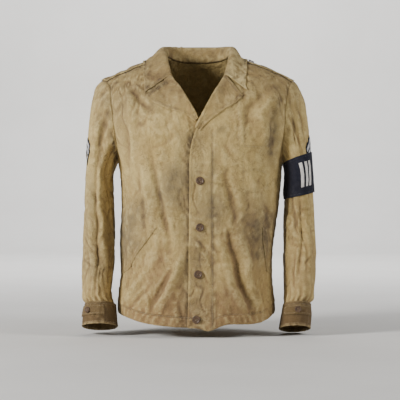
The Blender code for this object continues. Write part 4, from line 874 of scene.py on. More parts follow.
def atHeights(grid, heights):
    found = np.zeros(heights.shape + (3,))
    for index in np.ndindex(heights.shape):
        line = grid[::-1, index[-1]]
        found[index] = [np.interp(heights[index], line[:, 2], line[:, k]) for k in range(3)]
    return found


def ringClosed(grid, side=1):
    return np.concatenate([grid, grid[:, :1]], axis=1)[:, ::side]


def joinSleeve(panels, side, suffix):
    (front, frontOut), (back, backOut) = panels["front_" + suffix], panels["back"]
    near, far = (-1, 0) if side > 0 else (0, -1)
    arm = body["armRows"]
    loop, out = (
        np.concatenate([fore[bodyRows:, near][::-1], rear[bodyRows + 1 : -1, far]])
        for fore, rear in ((front, back), (frontOut, backOut)))
    for place, row in ((0, -1), (arm, bodyRows)):
        loop[place] = (front[row, near] + back[row, far]) / 2
        out[place] = unit(frontOut[row, near] + backOut[row, far])
    along = unit(np.roll(loop, -1, axis=0) - np.roll(loop, 1, axis=0))
    low = np.sin(np.arange(len(loop)) * math.pi / (2 * arm)) ** 4
    dip = np.radians(38 + 24 * low)
    leave = np.stack([side * np.cos(dip), 0 * dip, -np.sin(dip)], axis=-1)
    out = flatten(unit(out + side * unit(np.cross(along, leave))), along)
    across = unit(np.cross(out, along)) * side
    frontOut[bodyRows:, near] = out[: arm + 1][::-1]
    backOut[bodyRows:, far] = np.concatenate([out[arm:], out[:1]])
    for row in (bodyRows, -1):
        for kind, column in ((frontOut, near), (backOut, far)):
            kind[row, column] = flatten(kind[row, column], (0, 1, 0))
    return loop + across * (body["seamGap"] + sleeve["underarmEase"] * low[:, None]), out, leave


def stripOn(name, grid, out, spanAcross, spanDown, material):  # a thin strip laid on part of a grid
    last = np.array(grid.shape[:2]) - 1
    rows, columns = np.linspace(*spanDown, 5) * last[0], np.linspace(*spanAcross, 25) * last[1]
    r, c = np.meshgrid(rows, columns, indexing="ij")
    i, j = np.minimum(r.astype(int), last[0] - 1), np.minimum(c.astype(int), last[1] - 1)
    u, v = (r - i)[..., None], (c - j)[..., None]

    def between(a):
        return (a[i, j] * (1 - u) + a[i + 1, j] * u) * (1 - v) + (a[i, j + 1] * (1 - u) + a[i + 1, j + 1] * u) * v

    up = between(out)
    under = between(grid) + up * strip["lift"]
    made[name] = clothMesh(name, under + up * strip["thick"], under, material, marksAt(under) * 0.6)


def layPiece(key, kind, top, under, material, marks, **shape):
    made[key] = clothMesh(f"{key}_{kind}", top, under, material, marks, **shape)


stitchLines = []  # each is places, normals and whose thread it is


def sew(line, thread="khaki"):
    stitchLines.append((line[0], line[1], thread))


def sewEdges(grid, out, edges, distance, thread="khaki"):
    for edge in edges:
        sew(lineFrom(grid, out, edge, distance), thread)


def makeSleeve(panels, side, suffix, finish):
    loop, out, leave = joinSleeve(panels, side, suffix)
    grid = sleeveGrid(side, loop, leave)
    outward = gridNormals(grid, ring=True) * side
    outward[0] = out
    layPiece("sleeve_" + suffix, "cloth", grid, grid - outward * sleeve["cloth"], finish["shell"], marksAt(grid),
             ring=True, rims=(0, 1))
    for name, edge in zip(("front_" + suffix, "back"), ("lastColumn", "firstColumn")[::side]):
        panel, panelOut = panels[name]
        sew(lineFrom(panel[bodyRows + 4 :], panelOut[bodyRows + 4 :], edge, sleeve["seamStitch"]))
    makeTab(*makeCuff(side, suffix, finish), side, suffix, finish)
    top = makePatch(grid, outward, side, suffix, finish)
    if side > 0:
        makeArmband(grid, surfaceTree(ringClosed(grid), top), finish)
    print("sleeve", suffix, "made")


def makeCuff(side, suffix, finish):
    shape = cuffSizes[side]
    heights = np.linspace(shape["z"][0], shape["z"][-1], cuffWall["rows"])
    cuff = np.array([sleeveRing(shape, side, z, ringTurns) for z in heights])
    out = gridNormals(cuff, ring=True) * side
    degrees = np.degrees(ringTurns)
    start, end = (degrees[k] for k in cuffTab["spans"][side])
    lap = ease(degrees, start + 16, start + 20) * (1 - ease(degrees, end + 6, end + 30))
    down = polyLengths(cuff, 0)
    up = down[-1:] - down
    lines = sum(bell(far - cuffWall["stitch"], 0.0018) for far in (down, up))
    wave = np.sin(degrees * 0.32 + 3 * noise(cuff, 0.05, 131))
    relief = 0.0009 * lap + crumple(cuff, 0.9) * 1.2 - 0.0005 * lines + 0.0011 * wave * bell(up, 0.010)
    cuff = cuff + out * np.maximum(relief, -0.0006)[..., None]
    out = gridNormals(cuff, ring=True) * side
    marks = marksAt(cuff)
    dark, warm, _, rub = channels(marks)
    dark += 0.14 + 0.20 * ease(noise(cuff, 0.02, 133), 0, 0.8)
    warm += 0.35
    rub[:] = 1.1 * (1 - ease(up, 0, 0.007)) + 0.6 * (1 - ease(down, 0, 0.004))
    layPiece("cuff_" + suffix, "cloth", cuff, cuff - out * cuffWall["cloth"], finish["cuff"], marks,
             ring=True, rims=(1, 1))
    sewEdges(ringClosed(cuff), ringClosed(out), ("firstRow", "lastRow"), cuffWall["stitch"])
    return cuff, out, heights


def makeTab(cuff, cuffOut, heights, side, suffix, finish):
    first, last = cuffTab["spans"][side]
    near = int(np.argmin(np.abs(heights + 0.620)))
    part = cuff[:, first : last + 1]
    middle = cuffTab["middle"] - sleeve["tiltFore"] * (part[near, :, 1] - cuff[near, :, 1].mean())
    endward = np.linspace(0, 1, last - first + 1)[::side]
    half = cuffTab["halfHeight"] * (1 - 0.38 * ease(endward, 0.90, 1.0) ** 2)
    under = atHeights(part, middle + half * np.linspace(1, -1, 11)[:, None])
    out = softened(np.repeat(cuffOut[near : near + 1, first : last + 1], 11, axis=0))
    under = keptOff(surfaceTree(ringClosed(cuff, side)), under + out * gaps["laid"] / 2, gaps["trim"])
    far = edgeDistances(under)
    thick = cuffTab["cloth"] + 0.0004 * noise(under, 0.008, 141)
    thick -= 0.0004 * bell(np.minimum(far["firstRow"], far["lastRow"]) - cuffTab["stitch"], 0.0014)
    top = under + out * thick[..., None]
    marks = marksAt(under)
    marks[..., :2] += 0.18
    marks[..., 3] = edgeRub(under, everyEdge, 0.004)
    layPiece("cuff_tab_" + suffix, "cloth", top, under, finish["cuff"], marks)
    sewEdges(top, out, ("firstRow", "lastRow", "lastColumn" if side > 0 else "firstColumn"), cuffTab["stitch"])
    centre = 5, (last - first) // 2
    makeButton("cuff_button_" + suffix, top[centre], out[centre], buttons["small"], finish, side * 20)


def makePatch(grid, outward, side, suffix, finish):
    count = patch["halfColumns"]
    around = np.arange(-count, count + 1)
    rolled, rolledOut = (
        np.roll(kind, count - patch["forward"], axis=1)[:, : around.size] for kind in (grid, outward))
    apex = patch["apex"][side]
    levelLine = atHeights(rolled, np.full((1, around.size), apex))
    step = np.linalg.norm(np.diff(levelLine, axis=1), axis=-1).mean()
    down = patch["height"] * np.linspace(0, 1, 15)[:, None]
    under = atHeights(rolled, apex - patch["slope"] * step * np.abs(around) - down)
    row = int(np.argmin(np.abs(rolled[:, count, 2] - apex)))
    out = softened(np.repeat(rolledOut[row : row + 1], 15, axis=0), 4)
    under = keptOff(surfaceTree(ringClosed(grid, side)), under + out * gaps["laid"] / 2, gaps["trim"])
    top = under + out * (patch["cloth"] + 0.0002 * noise(under, 0.006, 151))[..., None]
    layPiece("chevron_" + suffix, "felt", top, under, finish["felt"], marksAt(under) * 0.5)
    sewEdges(top, out, everyEdge, patch["stitch"], "dark")
    for number, span in enumerate(patch["bars"], 1):
        stripOn(f"chevron_bar_{suffix}_{number}", top, out, (0.05, 0.95), span, finish["silver"])
    return top


def makeArmband(grid, tree, finish):
    lean = grid[sleeve["capRows"] + 6, :, 0] - band["innerX"]
    top, bottom = band["top"] + band["topSlope"] * lean, band["bottom"] + band["bottomSlope"] * lean
    cloth = atHeights(grid, top + (bottom - top) * np.linspace(0, 1, 34)[:, None])
    for _ in range(3):  # felt spans the small creases under it
        cloth = sum(np.roll(cloth, k, axis=1) for k in (2, 1, 0, -1, -2)) / 5
    out = gridNormals(cloth, ring=True)
    overPatch = (patch["cloth"] + gaps["laid"] / 2) * ease(np.cos(ringTurns), -0.3, 0.4)
    cloth = keptOff(tree, cloth + out * (gaps["laid"] / 2 + 0.0004 + overPatch)[:, None], gaps["trim"] + 0.0002)
    out = gridNormals(cloth, ring=True)
    down = polyLengths(cloth, 0)
    thick = band["cloth"] + 0.0003 * noise(cloth, 0.018, 161)
    marks = marksAt(cloth) * 0.4
    marks[..., 3] = 0
    for far in (down, down[-1:] - down):
        thick -= 0.0005 * bell(far - band["stitch"], 0.0022)
        marks[..., 3] += 0.35 * (1 - ease(far, 0, 0.004))
    topSide = cloth + out * thick[..., None]
    layPiece("armband", "wool", topSide, cloth, finish["felt"], marks, ring=True, rims=(1, 1))
    closedTop, closedOut = ringClosed(topSide), ringClosed(out)
    sewEdges(closedTop, closedOut, ("firstRow", "lastRow"), band["stitch"], "dark")
    for number, (start, end) in enumerate(band["bars"], 1):
        stripOn(f"armband_bar_{number}", closedTop, closedOut, (start / 360, end / 360), band["barSpan"],
                finish["white"])


# lapels, collar, straps and pockets

lapel = {"stations": 48, "roll": 0.0028, "lift": 0.0012, "gorgeGap": 0.003, "cloth": 0.0017,
         "breaks": {-1: -0.151, 1: -0.172}}
lapelEdges = {
    -1: readTable("share x       z", "0 .123 -.092", ".14 .112 -.105", ".35 .078 -.1235",
                  ".6 .045 -.134", ".82 .022 -.144", "1 .006 -.156"),
    1: readTable("share x       z", "0 .1075 -.091", ".12 .1 -.103", ".34 .068 -.124",
                 ".58 .04 -.144", ".82 .017 -.164", "1 .005 -.179"),
}


flapStitch = 0.006


def sewnFlap(key, grid, normal, cloth, edges, seed, marks, finish, first=0):  # a lapel or the collar
    hollow = gridNormals(grid)
    hollow *= np.sign((hollow[0] * normal).sum())
    hollow[0] = normal
    top = grid - hollow * softThickness(grid, cloth, flapStitch, edges, seed)
    lineDirt(grid, marks, edges, flapStitch)
    layPiece(key, "cloth", top, grid, finish["shell"], marks, rims=(0, 1, 1, 1))
    sewEdges(top[first:], -hollow[first:], edges, flapStitch)


def makeLapel(panels, tree, side, suffix, finish):
    outer, out = panels["front_" + suffix]
    column = 0 if side > 0 else -1
    points, normals = outer[::-1, column], out[::-1, column]
    leave = unit(np.cross(unit(np.gradient(points, axis=0)), normals)) * side
    shape, share = lapelEdges[side], np.linspace(0, 1, lapel["stations"] + 1)
    first = points[body["armRows"] + bodyRows - gorgeRow, 2] - lapel["gorgeGap"]
    heights = first + (lapel["breaks"][side] - first) * share
    place, normal, away = (
        np.stack([np.interp(-heights, -points[:, 2], kind[:, k]) for k in range(3)], axis=-1)
        for kind in (points, normals, leave))
    away = unit(away - normal * (away * normal).sum(-1, keepdims=True))
    edgeX, edgeZ = side * curve(shape, "x", share), curve(shape, "z", share)
    rows = [place + away * gaps["seam"]]
    for turn in np.radians(np.linspace(22.5, 180, 8)):
        rise = lapel["roll"] * (1 - math.cos(turn))
        rows.append(place + away * (gaps["seam"] + lapel["roll"] * math.sin(turn)) + normal * rise)
    rollRows, last = len(rows), rows[-1]
    for part in np.linspace(0, 1, 21)[1:]:
        x = last[:, 0] + (edgeX - last[:, 0]) * part
        z = last[:, 2] + (edgeZ - last[:, 2]) * part
        lift = lapel["lift"] + (2 * lapel["roll"] - lapel["lift"]) * (1 - part) ** 1.5
        laid = laidOn(tree, *fromFront(x[None], z[None]), lift)[0][0]
        missed = laid[:, 1] > last[:, 1] + 0.020  # beside the front's edge the ray meets only the back
        laid[:, 1] = np.where(missed, last[:, 1] + 0.0005, laid[:, 1])
        rows.append(laid)
    grid = np.array(rows)
    grid[rollRows - 1 :] = keptOff(tree, grid[rollRows - 1 :], lapel["lift"])
    edges = ("lastRow", "firstColumn")
    marks = marksAt(grid)
    dark, warm, _, rub = channels(marks)
    dark += 0.08 + 0.16 * ease(noise(grid, 0.03, 203), 0.0, 0.8)
    warm += 0.22
    rub += edgeRub(grid, edges, 0.004)
    sewnFlap("lapel_" + suffix, grid, normal, lapel["cloth"], edges, 201, marks, finish)


collar = {"lift": 0.0016, "arch": 0.030, "leftIn": 0.11, "cloth": 0.0018, "gap": 0.0003,
          "tips": {-1: (0.1285, -0.0867), 1: (0.1198, -0.0787)}}
collarLines = readTable(
    "share foldx foldy foldz edgex edgey edgez",
    "0 .0665 -.089 -.04 .125 -.106 -.083", ".0625 .077 -.066 -.007 .13 -.085 -.056",
    ".125 .0835 -.04 .017 .133 -.06 -.031", ".1875 .088 -.017 .03 .1345 -.03 -.012",
    ".25 .088 .008 .037 .133 .012 -.002", ".3125 .08 .043 .0415 .119 .056 -.004",
    ".375 .063 .067 .044 .09 .088 -.008", ".4375 .038 .08 .0455 .05 .104 -.012",
    ".5 0 .084 .046 0 .109 -.014",
)


def curveBetween(t, start, leaving, end, arriving):  # a Hermite curve
    return ((1 + 2 * t) * (1 - t) ** 2 * start + t * (1 - t) ** 2 * leaving
            + t * t * (3 - 2 * t) * end + t * t * (t - 1) * arriving)


def makeCollar(panels, tree, finish):
    middle, neck = body["halfBack"], body["neckColumns"]
    behind = slice(middle - neck + 1, middle + neck)
    points, normal = (
        np.concatenate([panels["front_right"][k][gorgeRow:, -1], panels["back"][k][-1, behind][::-1],
                        panels["front_left"][k][gorgeRow:, 0][::-1]]) for k in (0, 1))
    away = unit(np.cross(unit(np.gradient(points, axis=0)), normal))
    for _ in range(3):  # the seam's own ripples stay out of the collar
        for kind in (away, normal):
            kind[1:-1] = unit(kind[:-2] + 2 * kind[1:-1] + kind[2:])
    stations = np.linspace(0, 1, len(points))
    share = np.minimum(stations, 1 - stations)
    side = np.where(stations < 0.5, -1.0, 1.0)
    fold, edge = (
        np.stack([curve(collarLines, name + k, share) for k in "xyz"], axis=-1)
        for name in ("fold", "edge"))
    fold[:, 0] *= side
    edge[:, 0] *= side * np.where(side > 0, 1 - collar["leftIn"] * ease(-share, -0.44, -0.30), 1.0)
    nearTip = np.clip(1 - share / 0.0625, 0, 1)
    tipX, tipZ = (np.where(side < 0, collar["tips"][-1][k], collar["tips"][1][k]) for k in (0, 1))
    edge[:, 0] += nearTip * (side * tipX - edge[:, 0])
    edge[:, 2] += nearTip * (tipZ - edge[:, 2])
    base = points + away * collar["gap"]
    over = unit(edge - base)
    flat = unit(over * (1, 1, 0.25))
    stand = np.linalg.norm(fold - base, axis=-1, keepdims=True)
    fall = np.linalg.norm(edge - fold, axis=-1, keepdims=True)
    rise = unit(away + np.array([0, 0, 1.2]) * np.clip(stand / 0.02, 0, 1))
    rows = [curveBetween(t, base, rise * stand, fold, flat * np.minimum(stand * 1.2, 0.022))
            for t in np.linspace(0, 0.94, 9)]
    first = len(rows)
    shares = np.array([0, 0.035, 0.07, 0.12, 0.18, 0.25, 0.33, 0.41, 0.5, 0.58, 0.66, 0.74, 0.81, 0.88, 0.94, 1.0])
    rows += [curveBetween(t, fold, flat * collar["arch"], edge, over * fall * 0.8) for t in shares]
    grid = np.array(rows)
    most = collar["arch"] * (1 - shares[:, None]) ** 1.5 + collar["lift"]
    grid[first:] = keptOff(tree, grid[first:], collar["lift"], np.broadcast_to(most, grid[first:].shape[:2]))
    edges = ("lastRow", "firstColumn", "lastColumn")
    marks = marksAt(grid)
    dark, warm, _, rub = channels(marks)
    dark += 0.08 + 0.20 * ease(noise(grid, 0.035, 213), 0.0, 0.8)
    warm += 0.12
    # the collar's end on the wearer's left is paled as a painted highlight where it turns to the light; edgeRub adds
    # rubbed wear
    rub += edgeRub(grid, edges, 0.004) + 0.75 * ease(grid[..., 0], 0.055, 0.090)
    sewnFlap("collar", grid, normal, collar["cloth"], edges, 211, marks, finish, first)
    print("collar made")


strap = {"inner": {-1: 0.118, 1: 0.1185}, "short": 0.0015, "halfWidth": 0.0232, "middleY": -0.006, "buttonX": 0.1320,
         "cloth": 0.0020, "stitch": 0.005}


def makeStrap(panels, tree, side, suffix, finish):
    share, across = np.linspace(0, 1, 49), np.linspace(-1, 1, 17)[:, None]
    half = strap["halfWidth"] * (1 - 0.45 * ease(-share, -0.14, 0.0))
    y = strap["middleY"] + across * half
    upper = slice(bodyRows + body["armRows"] // 2, None)
    near, far = (-1, 0) if side > 0 else (0, -1)
    seam = np.concatenate([panels["front_" + suffix][0][upper, near], panels["back"][0][upper, far][::-1]])
    end = np.interp(y, seam[:, 1], np.abs(seam[:, 0])) - strap["short"]
    x = strap["inner"][side] + (end - strap["inner"][side]) * share
    start = np.stack([side * x, y, np.full(y.shape, 0.5)], axis=-1)
    under, out = laidOn(tree, start, np.broadcast_to((0.0, 0.0, -1.0), start.shape), gaps["laid"] * 0.8)
    under = keptOff(tree, under, gaps["trim"])
    edges = ("firstRow", "lastRow")
    top = under + out * softThickness(under, strap["cloth"], strap["stitch"], edges + ("firstColumn",), 221)
    marks = marksAt(under)
    marks[..., 0] += 0.10
    # the strap's edges are paled strongly: rubbed wear, and a painted highlight along its thickness
    marks[..., 3] += edgeRub(under, everyEdge, 0.006, 0.95)
    lineDirt(under, marks, edges, strap["stitch"])
    layPiece("strap_" + suffix, "cloth", top, under, finish["shell"], marks)
    sewEdges(top, out, edges, strap["stitch"])
    sewEdges(top, out, ("lastColumn",), 0.004)
    if side > 0:
        at = 8, int(np.argmin(np.abs(x[8] - strap["buttonX"])))
        makeButton("strap_button", top[at], out[at], buttons["small"], finish, 35)
    return top[::side]


pocket = {"width": 0.018, "cloth": 0.0014, "stitch": 0.003,
          "ends": {-1: ((-41.0, -0.415), (-69.0, -0.520)), 1: ((61.0, -0.415), (70.0, -0.522))}}


def makePocket(tree, side, suffix, finish):
    (topTurn, topZ), (lowTurn, lowZ) = pocket["ends"][side]
    share = np.linspace(0, 1, 45)
    across = np.linspace(-1, 1, 11)[:, None]
    turn = np.radians(topTurn + (lowTurn - topTurn) * share) + across * side * pocket["width"] / 2 / 0.155
    height = topZ + (lowZ - topZ) * share - across * 0.004
    start = np.stack([0.5 * np.sin(turn), -0.5 * np.cos(turn), height], axis=-1)
    under, out = laidOn(tree, start, -start * (1, 1, 0), gaps["trim"])
    under = keptOff(tree, under, gaps["trim"])
    top = under + out * softThickness(under, pocket["cloth"], pocket["stitch"], everyEdge, 231)
    marks = marksAt(under)
    marks[..., 0] += 0.10
    marks[..., 3] += edgeRub(under, everyEdge, 0.004)
    layPiece("pocket_welt_" + suffix, "cloth", top, under, finish["shell"], marks)
    sewEdges(top, out, everyEdge, pocket["stitch"])


# buttons

buttons = {"front": 0.0100, "small": 0.0078, "thickness": 0.0030, "gap": 0.0006, "segments": 40,
           "places": ((0.0048, -0.299), (0.0048, -0.411), (0.0005, -0.5237), (-0.0036, -0.6317))}


def makeButton(key, place, out, radius, finish, turned=0.0):
    count, thick = buttons["segments"], buttons["thickness"]
    rings = np.concatenate([np.linspace(0.04, 0.60, 14), [0.66, 0.72, 0.78, 0.85, 0.92, 0.97, 1.0]])
    angle = np.arange(count) * 2 * math.pi / count
    r, a = np.meshgrid(rings, angle, indexing="ij")
    height = thick * (0.60 + 0.40 * ease(r, 0.55, 0.74) - 0.34 * ease(r, 0.90, 1.0) ** 2)
    for hole in (np.arange(4) + 0.5) * math.pi / 2:
        far = np.hypot(r * np.cos(a) - 0.26 * math.cos(hole), r * np.sin(a) - 0.26 * math.sin(hole))
        height = height - 0.0013 * (1 - ease(far, 0.06, 0.115))
    rows = [np.stack([r * radius * np.cos(a), r * radius * np.sin(a), height], -1)]
    for share, level in ((1.0, 0.35), (0.95, 0.05), (0.90, 0.0), (0.04, 0.0)):
        edge = share * radius * np.cos(angle), share * radius * np.sin(angle), np.full(count, level * thick)
        rows.append(np.stack(edge, -1)[None])
    grid = np.concatenate(rows)
    number = np.arange(grid.shape[0] * count).reshape(-1, count)
    after = np.roll(number, -1, axis=1)
    faces = np.stack([number[:-1], number[1:], after[1:], after[:-1]], -1).reshape(-1, 4).tolist()
    faces += [number[0].tolist(), number[-1][::-1].tolist()]
    spin = Vector(out).to_track_quat("Z", "Y").to_matrix() @ Matrix.Rotation(math.radians(turned), 3, "Z")
    centre = Vector(np.asarray(place) + np.asarray(out) * buttons["gap"])
    mesh = bpy.data.meshes.new(key + "_moulded")
    mesh.from_pydata([tuple(spin @ Vector(p) + centre) for p in grid.reshape(-1, 3)], [], faces)
    mesh.update()
    mesh.shade_smooth()
    mesh.materials.append(finish["button"])
    made[key] = linked(key + "_moulded", mesh)
    for across in (-1, 1):  # the thread that holds it, from hole to hole
        level = thick * 0.60 + 0.0002
        ends = [spin @ Vector((0.19 * radius * s, 0.19 * radius * across, level)) + centre for s in (-1, 1)]
        buttonThreads.append((np.array((ends[0] + ends[1]) / 2), np.array(ends[1] - ends[0]), np.asarray(out)))


buttonThreads = []


# materials

class Wiring:  # one node tree, with short words for what is added to it
    def __init__(self, tree):
        self.tree = tree

    def fill(self, node, inputs):  # a socket is wired, anything else is set
        for key, value in inputs.items():
            if hasattr(value, "is_output"):
                self.tree.links.new(value, node.inputs[key])
            else:
                node.inputs[key].default_value = value
        return node

    def add(self, kind, inputs=(), **settings):
        node = self.tree.nodes.new(kind)
        for name, value in settings.items():
            setattr(node, name, value)
        return self.fill(node, dict(inputs))

    def math(self, kind, *inputs):
        return self.add("ShaderNodeMath", enumerate(inputs), operation=kind).outputs[0]

    def times(self, a, b):
        return self.math("MULTIPLY", a, b)

    def plus(self, a, b):
        return self.math("ADD", a, b)

    def vector(self, kind, start, amount):
        key = "Scale" if kind == "SCALE" else 1
        return self.add("ShaderNodeVectorMath", {0: start, key: amount}, operation=kind).outputs[0]

    def spread(self, value, low, high, newLow, newHigh):
        inputs = {"Value": value, "From Min": low, "From Max": high, "To Min": newLow, "To Max": newHigh}
        return self.add("ShaderNodeMapRange", inputs, interpolation_type="SMOOTHSTEP").outputs[0]

    def mix(self, share, a, b):
        return self.add("ShaderNodeMix", {0: share, 6: a, 7: b}, data_type="RGBA", blend_type="MIX").outputs[2]

    def noise(self, place, scale, detail=4.0, rough=0.55, **settings):
        inputs = {"Vector": place, "Scale": scale, "Detail": detail, "Roughness": rough}
        return self.add("ShaderNodeTexNoise", inputs, **settings).outputs[0]

    def bump(self, height, strength, distance, **below):
        inputs = {"Height": height, "Strength": strength, "Distance": distance, **below}
        return self.add("ShaderNodeBump", inputs).outputs[0]


def newMaterial(name):
    material = bpy.data.materials.new(name)
    material.use_nodes = True
    return material, Wiring(material.node_tree), material.node_tree.nodes["Principled BSDF"]


def newGroup(name, kind, inputs, outputs):
    tree = bpy.data.node_groups.new(name, kind)
    for way, sockets in (("INPUT", inputs), ("OUTPUT", outputs)):
        for key, socketType in sockets.items():
            tree.interface.new_socket(key, in_out=way, socket_type="NodeSocket" + socketType)
    nodes = Wiring(tree)
    return nodes, nodes.add("NodeGroupInput").outputs, nodes.add("NodeGroupOutput")


def makeWeaveGroup():  # twill: slanted ribs of yarn with the filling between them
    nodes, start, end = newGroup("twillWeave", "ShaderNodeTree", {"Map": "Vector", "Pitch": "Float"},
                                 {"Height": "Float", "Shade": "Float"})
    u, v, _ = nodes.add("ShaderNodeSeparateXYZ", {0: start["Map"]}).outputs
    wobble = nodes.times(nodes.noise(start["Map"], 260.0, 2.0), 0.0006)
    slant = nodes.plus(nodes.plus(u, nodes.times(v, 0.8)), wobble)
    rib, yarn = (nodes.math("SINE", nodes.times(nodes.math("DIVIDE", place, start["Pitch"]), turns))
                 for place, turns in ((slant, 2 * math.pi), (v, 4 * math.pi)))
    height = nodes.plus(nodes.times(rib, 0.36), nodes.times(yarn, 0.14))
    slub = nodes.noise(nodes.vector("MULTIPLY", start["Map"], (1400.0, 70.0, 1.0)), 1.0, 2.0)
    shade = nodes.plus(nodes.times(height, 0.16), nodes.times(slub, 0.16))
    nodes.fill(end, {"Height": nodes.plus(height, 0.5), "Shade": nodes.plus(shade, 0.92)})
    return nodes.tree


def makeWearGroup():  # washed, stained and rubbed cloth, whose marks also carry painted shade and painted light
    colors = ("Base", "Deep", "Dirt", "Warm", "Grey", "Faded", "Marks")
    nodes, start, end = newGroup(
        "clothWear", "ShaderNodeTree",
        {"Place": "Vector", **dict.fromkeys(colors, "Color"), "Rub": "Float", "Scratched": "Float"},
        {"Color": "Color", "Grain": "Float", "Wrinkle": "Float"})
    place = start["Place"]
    cloud = nodes.noise(place, 9.0, 5.0, 0.6)
    mottle = nodes.noise(place, 85.0, 5.0, 0.62)
    fibre = nodes.noise(place, 650.0, 3.0, 0.6)
    patchy = nodes.spread(mottle, 0.30, 0.70, 0.62, 1.15)
    dark, warm, grey = list(nodes.add("ShaderNodeSeparateColor", {0: start["Marks"]}).outputs)[:3]
    color = nodes.mix(nodes.spread(cloud, 0.36, 0.66, 0.0, 0.55), start["Base"], start["Deep"])
    for mark, most, name in ((warm, 0.95, "Warm"), (grey, 0.9, "Grey"), (dark, 0.9, "Dirt")):
        color = nodes.mix(nodes.math("MINIMUM", nodes.times(mark, patchy), most), color, start[name])
    trail = nodes.noise(place, 44.0, 3.0, 0.55)  # thin dark scratches and old crease lines, in patches
    trail = nodes.spread(nodes.math("ABSOLUTE", nodes.math("SUBTRACT", trail, 0.5)), 0.0, 0.026, 1.0, 0.0)
    trail = nodes.times(trail, nodes.spread(nodes.noise(place, 17.0, 2.0, 0.5), 0.50, 0.60, 0.0, 1.0))
    color = nodes.mix(nodes.times(trail, start["Scratched"]), color, start["Dirt"])
    rub = nodes.times(start["Rub"], nodes.spread(mottle, 0.36, 0.60, 0.15, 1.0))
    color = nodes.mix(nodes.math("MINIMUM", rub, 0.85), color, start["Faded"])
    speck = nodes.times(nodes.spread(fibre, 0.30, 0.70, 0.86, 1.10), nodes.spread(mottle, 0.34, 0.66, 0.90, 1.09))
    drawn = nodes.vector("MULTIPLY", place, (1.0, 1.0, 0.42))
    ridged = nodes.add("ShaderNodeTexNoise", {"Vector": drawn, "Scale": 60.0, "Detail": 5.0, "Roughness": 0.6,
                                              "Distortion": 0.8}, noise_type="RIDGED_MULTIFRACTAL").outputs[0]
    nodes.fill(end, {"Color": nodes.vector("SCALE", color, speck),
                     "Grain": nodes.plus(nodes.times(fibre, 0.5), nodes.times(mottle, 0.5)),
                     "Wrinkle": nodes.math("SUBTRACT", mottle, nodes.times(ridged, 0.42))})
    return nodes.tree


def makeCloth(weaveGroup, wearGroup, name, pitch, weaveDepth, wrinkled, rough, sheen, colors):
    material, nodes, shader = newMaterial(name)
    place = nodes.add("ShaderNodeTexCoord").outputs
    marks = nodes.add("ShaderNodeAttribute", attribute_name="marks").outputs
    wear = nodes.add("ShaderNodeGroup", node_tree=wearGroup)
    weave = nodes.add("ShaderNodeGroup", node_tree=weaveGroup)
    nodes.fill(wear, {"Place": place["Object"], "Marks": marks["Color"], "Rub": marks["Alpha"],
                      "Scratched": 0.42 * wrinkled, **{key: (*value, 1.0) for key, value in colors.items()}})
    nodes.fill(weave, {"Map": place["UV"], "Pitch": pitch})
    grain = wear.outputs["Grain"]
    normal = nodes.bump(wear.outputs["Wrinkle"], wrinkled, 0.0040)
    normal = nodes.bump(grain, 0.40, 0.0007, Normal=normal)
    normal = nodes.bump(weave.outputs["Height"], weaveDepth, 0.0003, Normal=normal)
    nodes.fill(shader, {"Base Color": nodes.vector("SCALE", wear.outputs["Color"], weave.outputs["Shade"]),
                        "Roughness": nodes.spread(grain, 0.3, 0.7, rough + 0.06, rough - 0.06),
                        "Normal": normal, "Sheen Weight": sheen, "Sheen Roughness": 0.5, "Specular IOR Level": 0.15})
    return material


def makePlastic(name):
    material, nodes, shader = newMaterial(name)
    place = nodes.add("ShaderNodeTexCoord").outputs["Object"]
    cloud, scratch = nodes.noise(place, 180.0), nodes.noise(place, 1300.0, 3.0, 0.7)
    color = nodes.mix(nodes.spread(cloud, 0.35, 0.65, 0, 1), (0.060, 0.032, 0.016, 1), (0.115, 0.066, 0.035, 1))
    color = nodes.mix(nodes.spread(scratch, 0.58, 0.72, 0, 0.5), color, (0.22, 0.15, 0.09, 1))
    nodes.fill(shader, {"Base Color": color, "Roughness": nodes.spread(scratch, 0.3, 0.7, 0.32, 0.58),
                        "Normal": nodes.bump(scratch, 0.3, 0.0002)})
    return material


clothColors = "Base Deep Dirt Warm Grey Faded"
clothKinds = {  # pitch and depth of the weave, wrinkles, roughness, sheen, then red, green and blue of each color
    "shell": ("khakiTwill", 0.0012, 0.30, 1.00, 0.86, 0.06, readTable(
        clothColors, ".53 .385 .09 .292 .18 .6", ".392 .264 .062 .18 .155 .474", ".156 .092 .036 .08 .112 .222")),
    "cuff": ("soiledTwill", 0.0012, 0.30, 1.00, 0.84, 0.05, readTable(
        clothColors, ".205 .125 .085 .15 .13 .35", ".143 .082 .06 .094 .105 .258", ".06 .032 .036 .04 .074 .126")),
    "felt": ("navyWool", 0.0008, 0.16, 0.35, 0.92, 0.04, readTable(
        clothColors, ".015 .0095 .03 .04 .03 .06", ".016 .01 .027 .032 .03 .06", ".027 .018 .024 .024 .036 .075")),
    "white": ("whiteFelt", 0.0007, 0.14, 0.20, 0.90, 0.25, readTable(
        clothColors, ".7 .6 .2 .45 .36 .78", ".67 .565 .17 .36 .34 .76", ".64 .53 .14 .27 .33 .74")),
    "silver": ("silverBraid", 0.0009, 0.40, 0.20, 0.70, 0.20, readTable(
        clothColors, ".56 .44 .15 .34 .27 .7", ".555 .435 .14 .29 .27 .7", ".56 .44 .13 .24 .28 .71")),
    "thread": ("khakiThread", 0.0006, 0.20, 0.05, 0.80, 0.15, readTable(
        clothColors, ".42 .33 .1 .26 .2 .55", ".32 .24 .08 .16 .17 .45", ".17 .12 .05 .08 .14 .28")),
    "darkThread": ("darkThread", 0.0006, 0.20, 0.05, 0.80, 0.15, readTable(
        clothColors, ".03 .018 .04 .05 .04 .08", ".03 .018 .035 .04 .04 .08", ".042 .027 .03 .03 .045 .09")),
}


def makeFinishes():
    weave, wear = makeWeaveGroup(), makeWearGroup()
    finish = {kind: makeCloth(weave, wear, *given) for kind, given in clothKinds.items()}
    finish["button"] = makePlastic("brownPlastic")
    return finish


# stitches: one small rounded thread on each point of the stitch lines

stitch = {"pitch": 0.0033, "length": 0.0024, "radius": 0.00028, "sides": 6, "rings": 4}


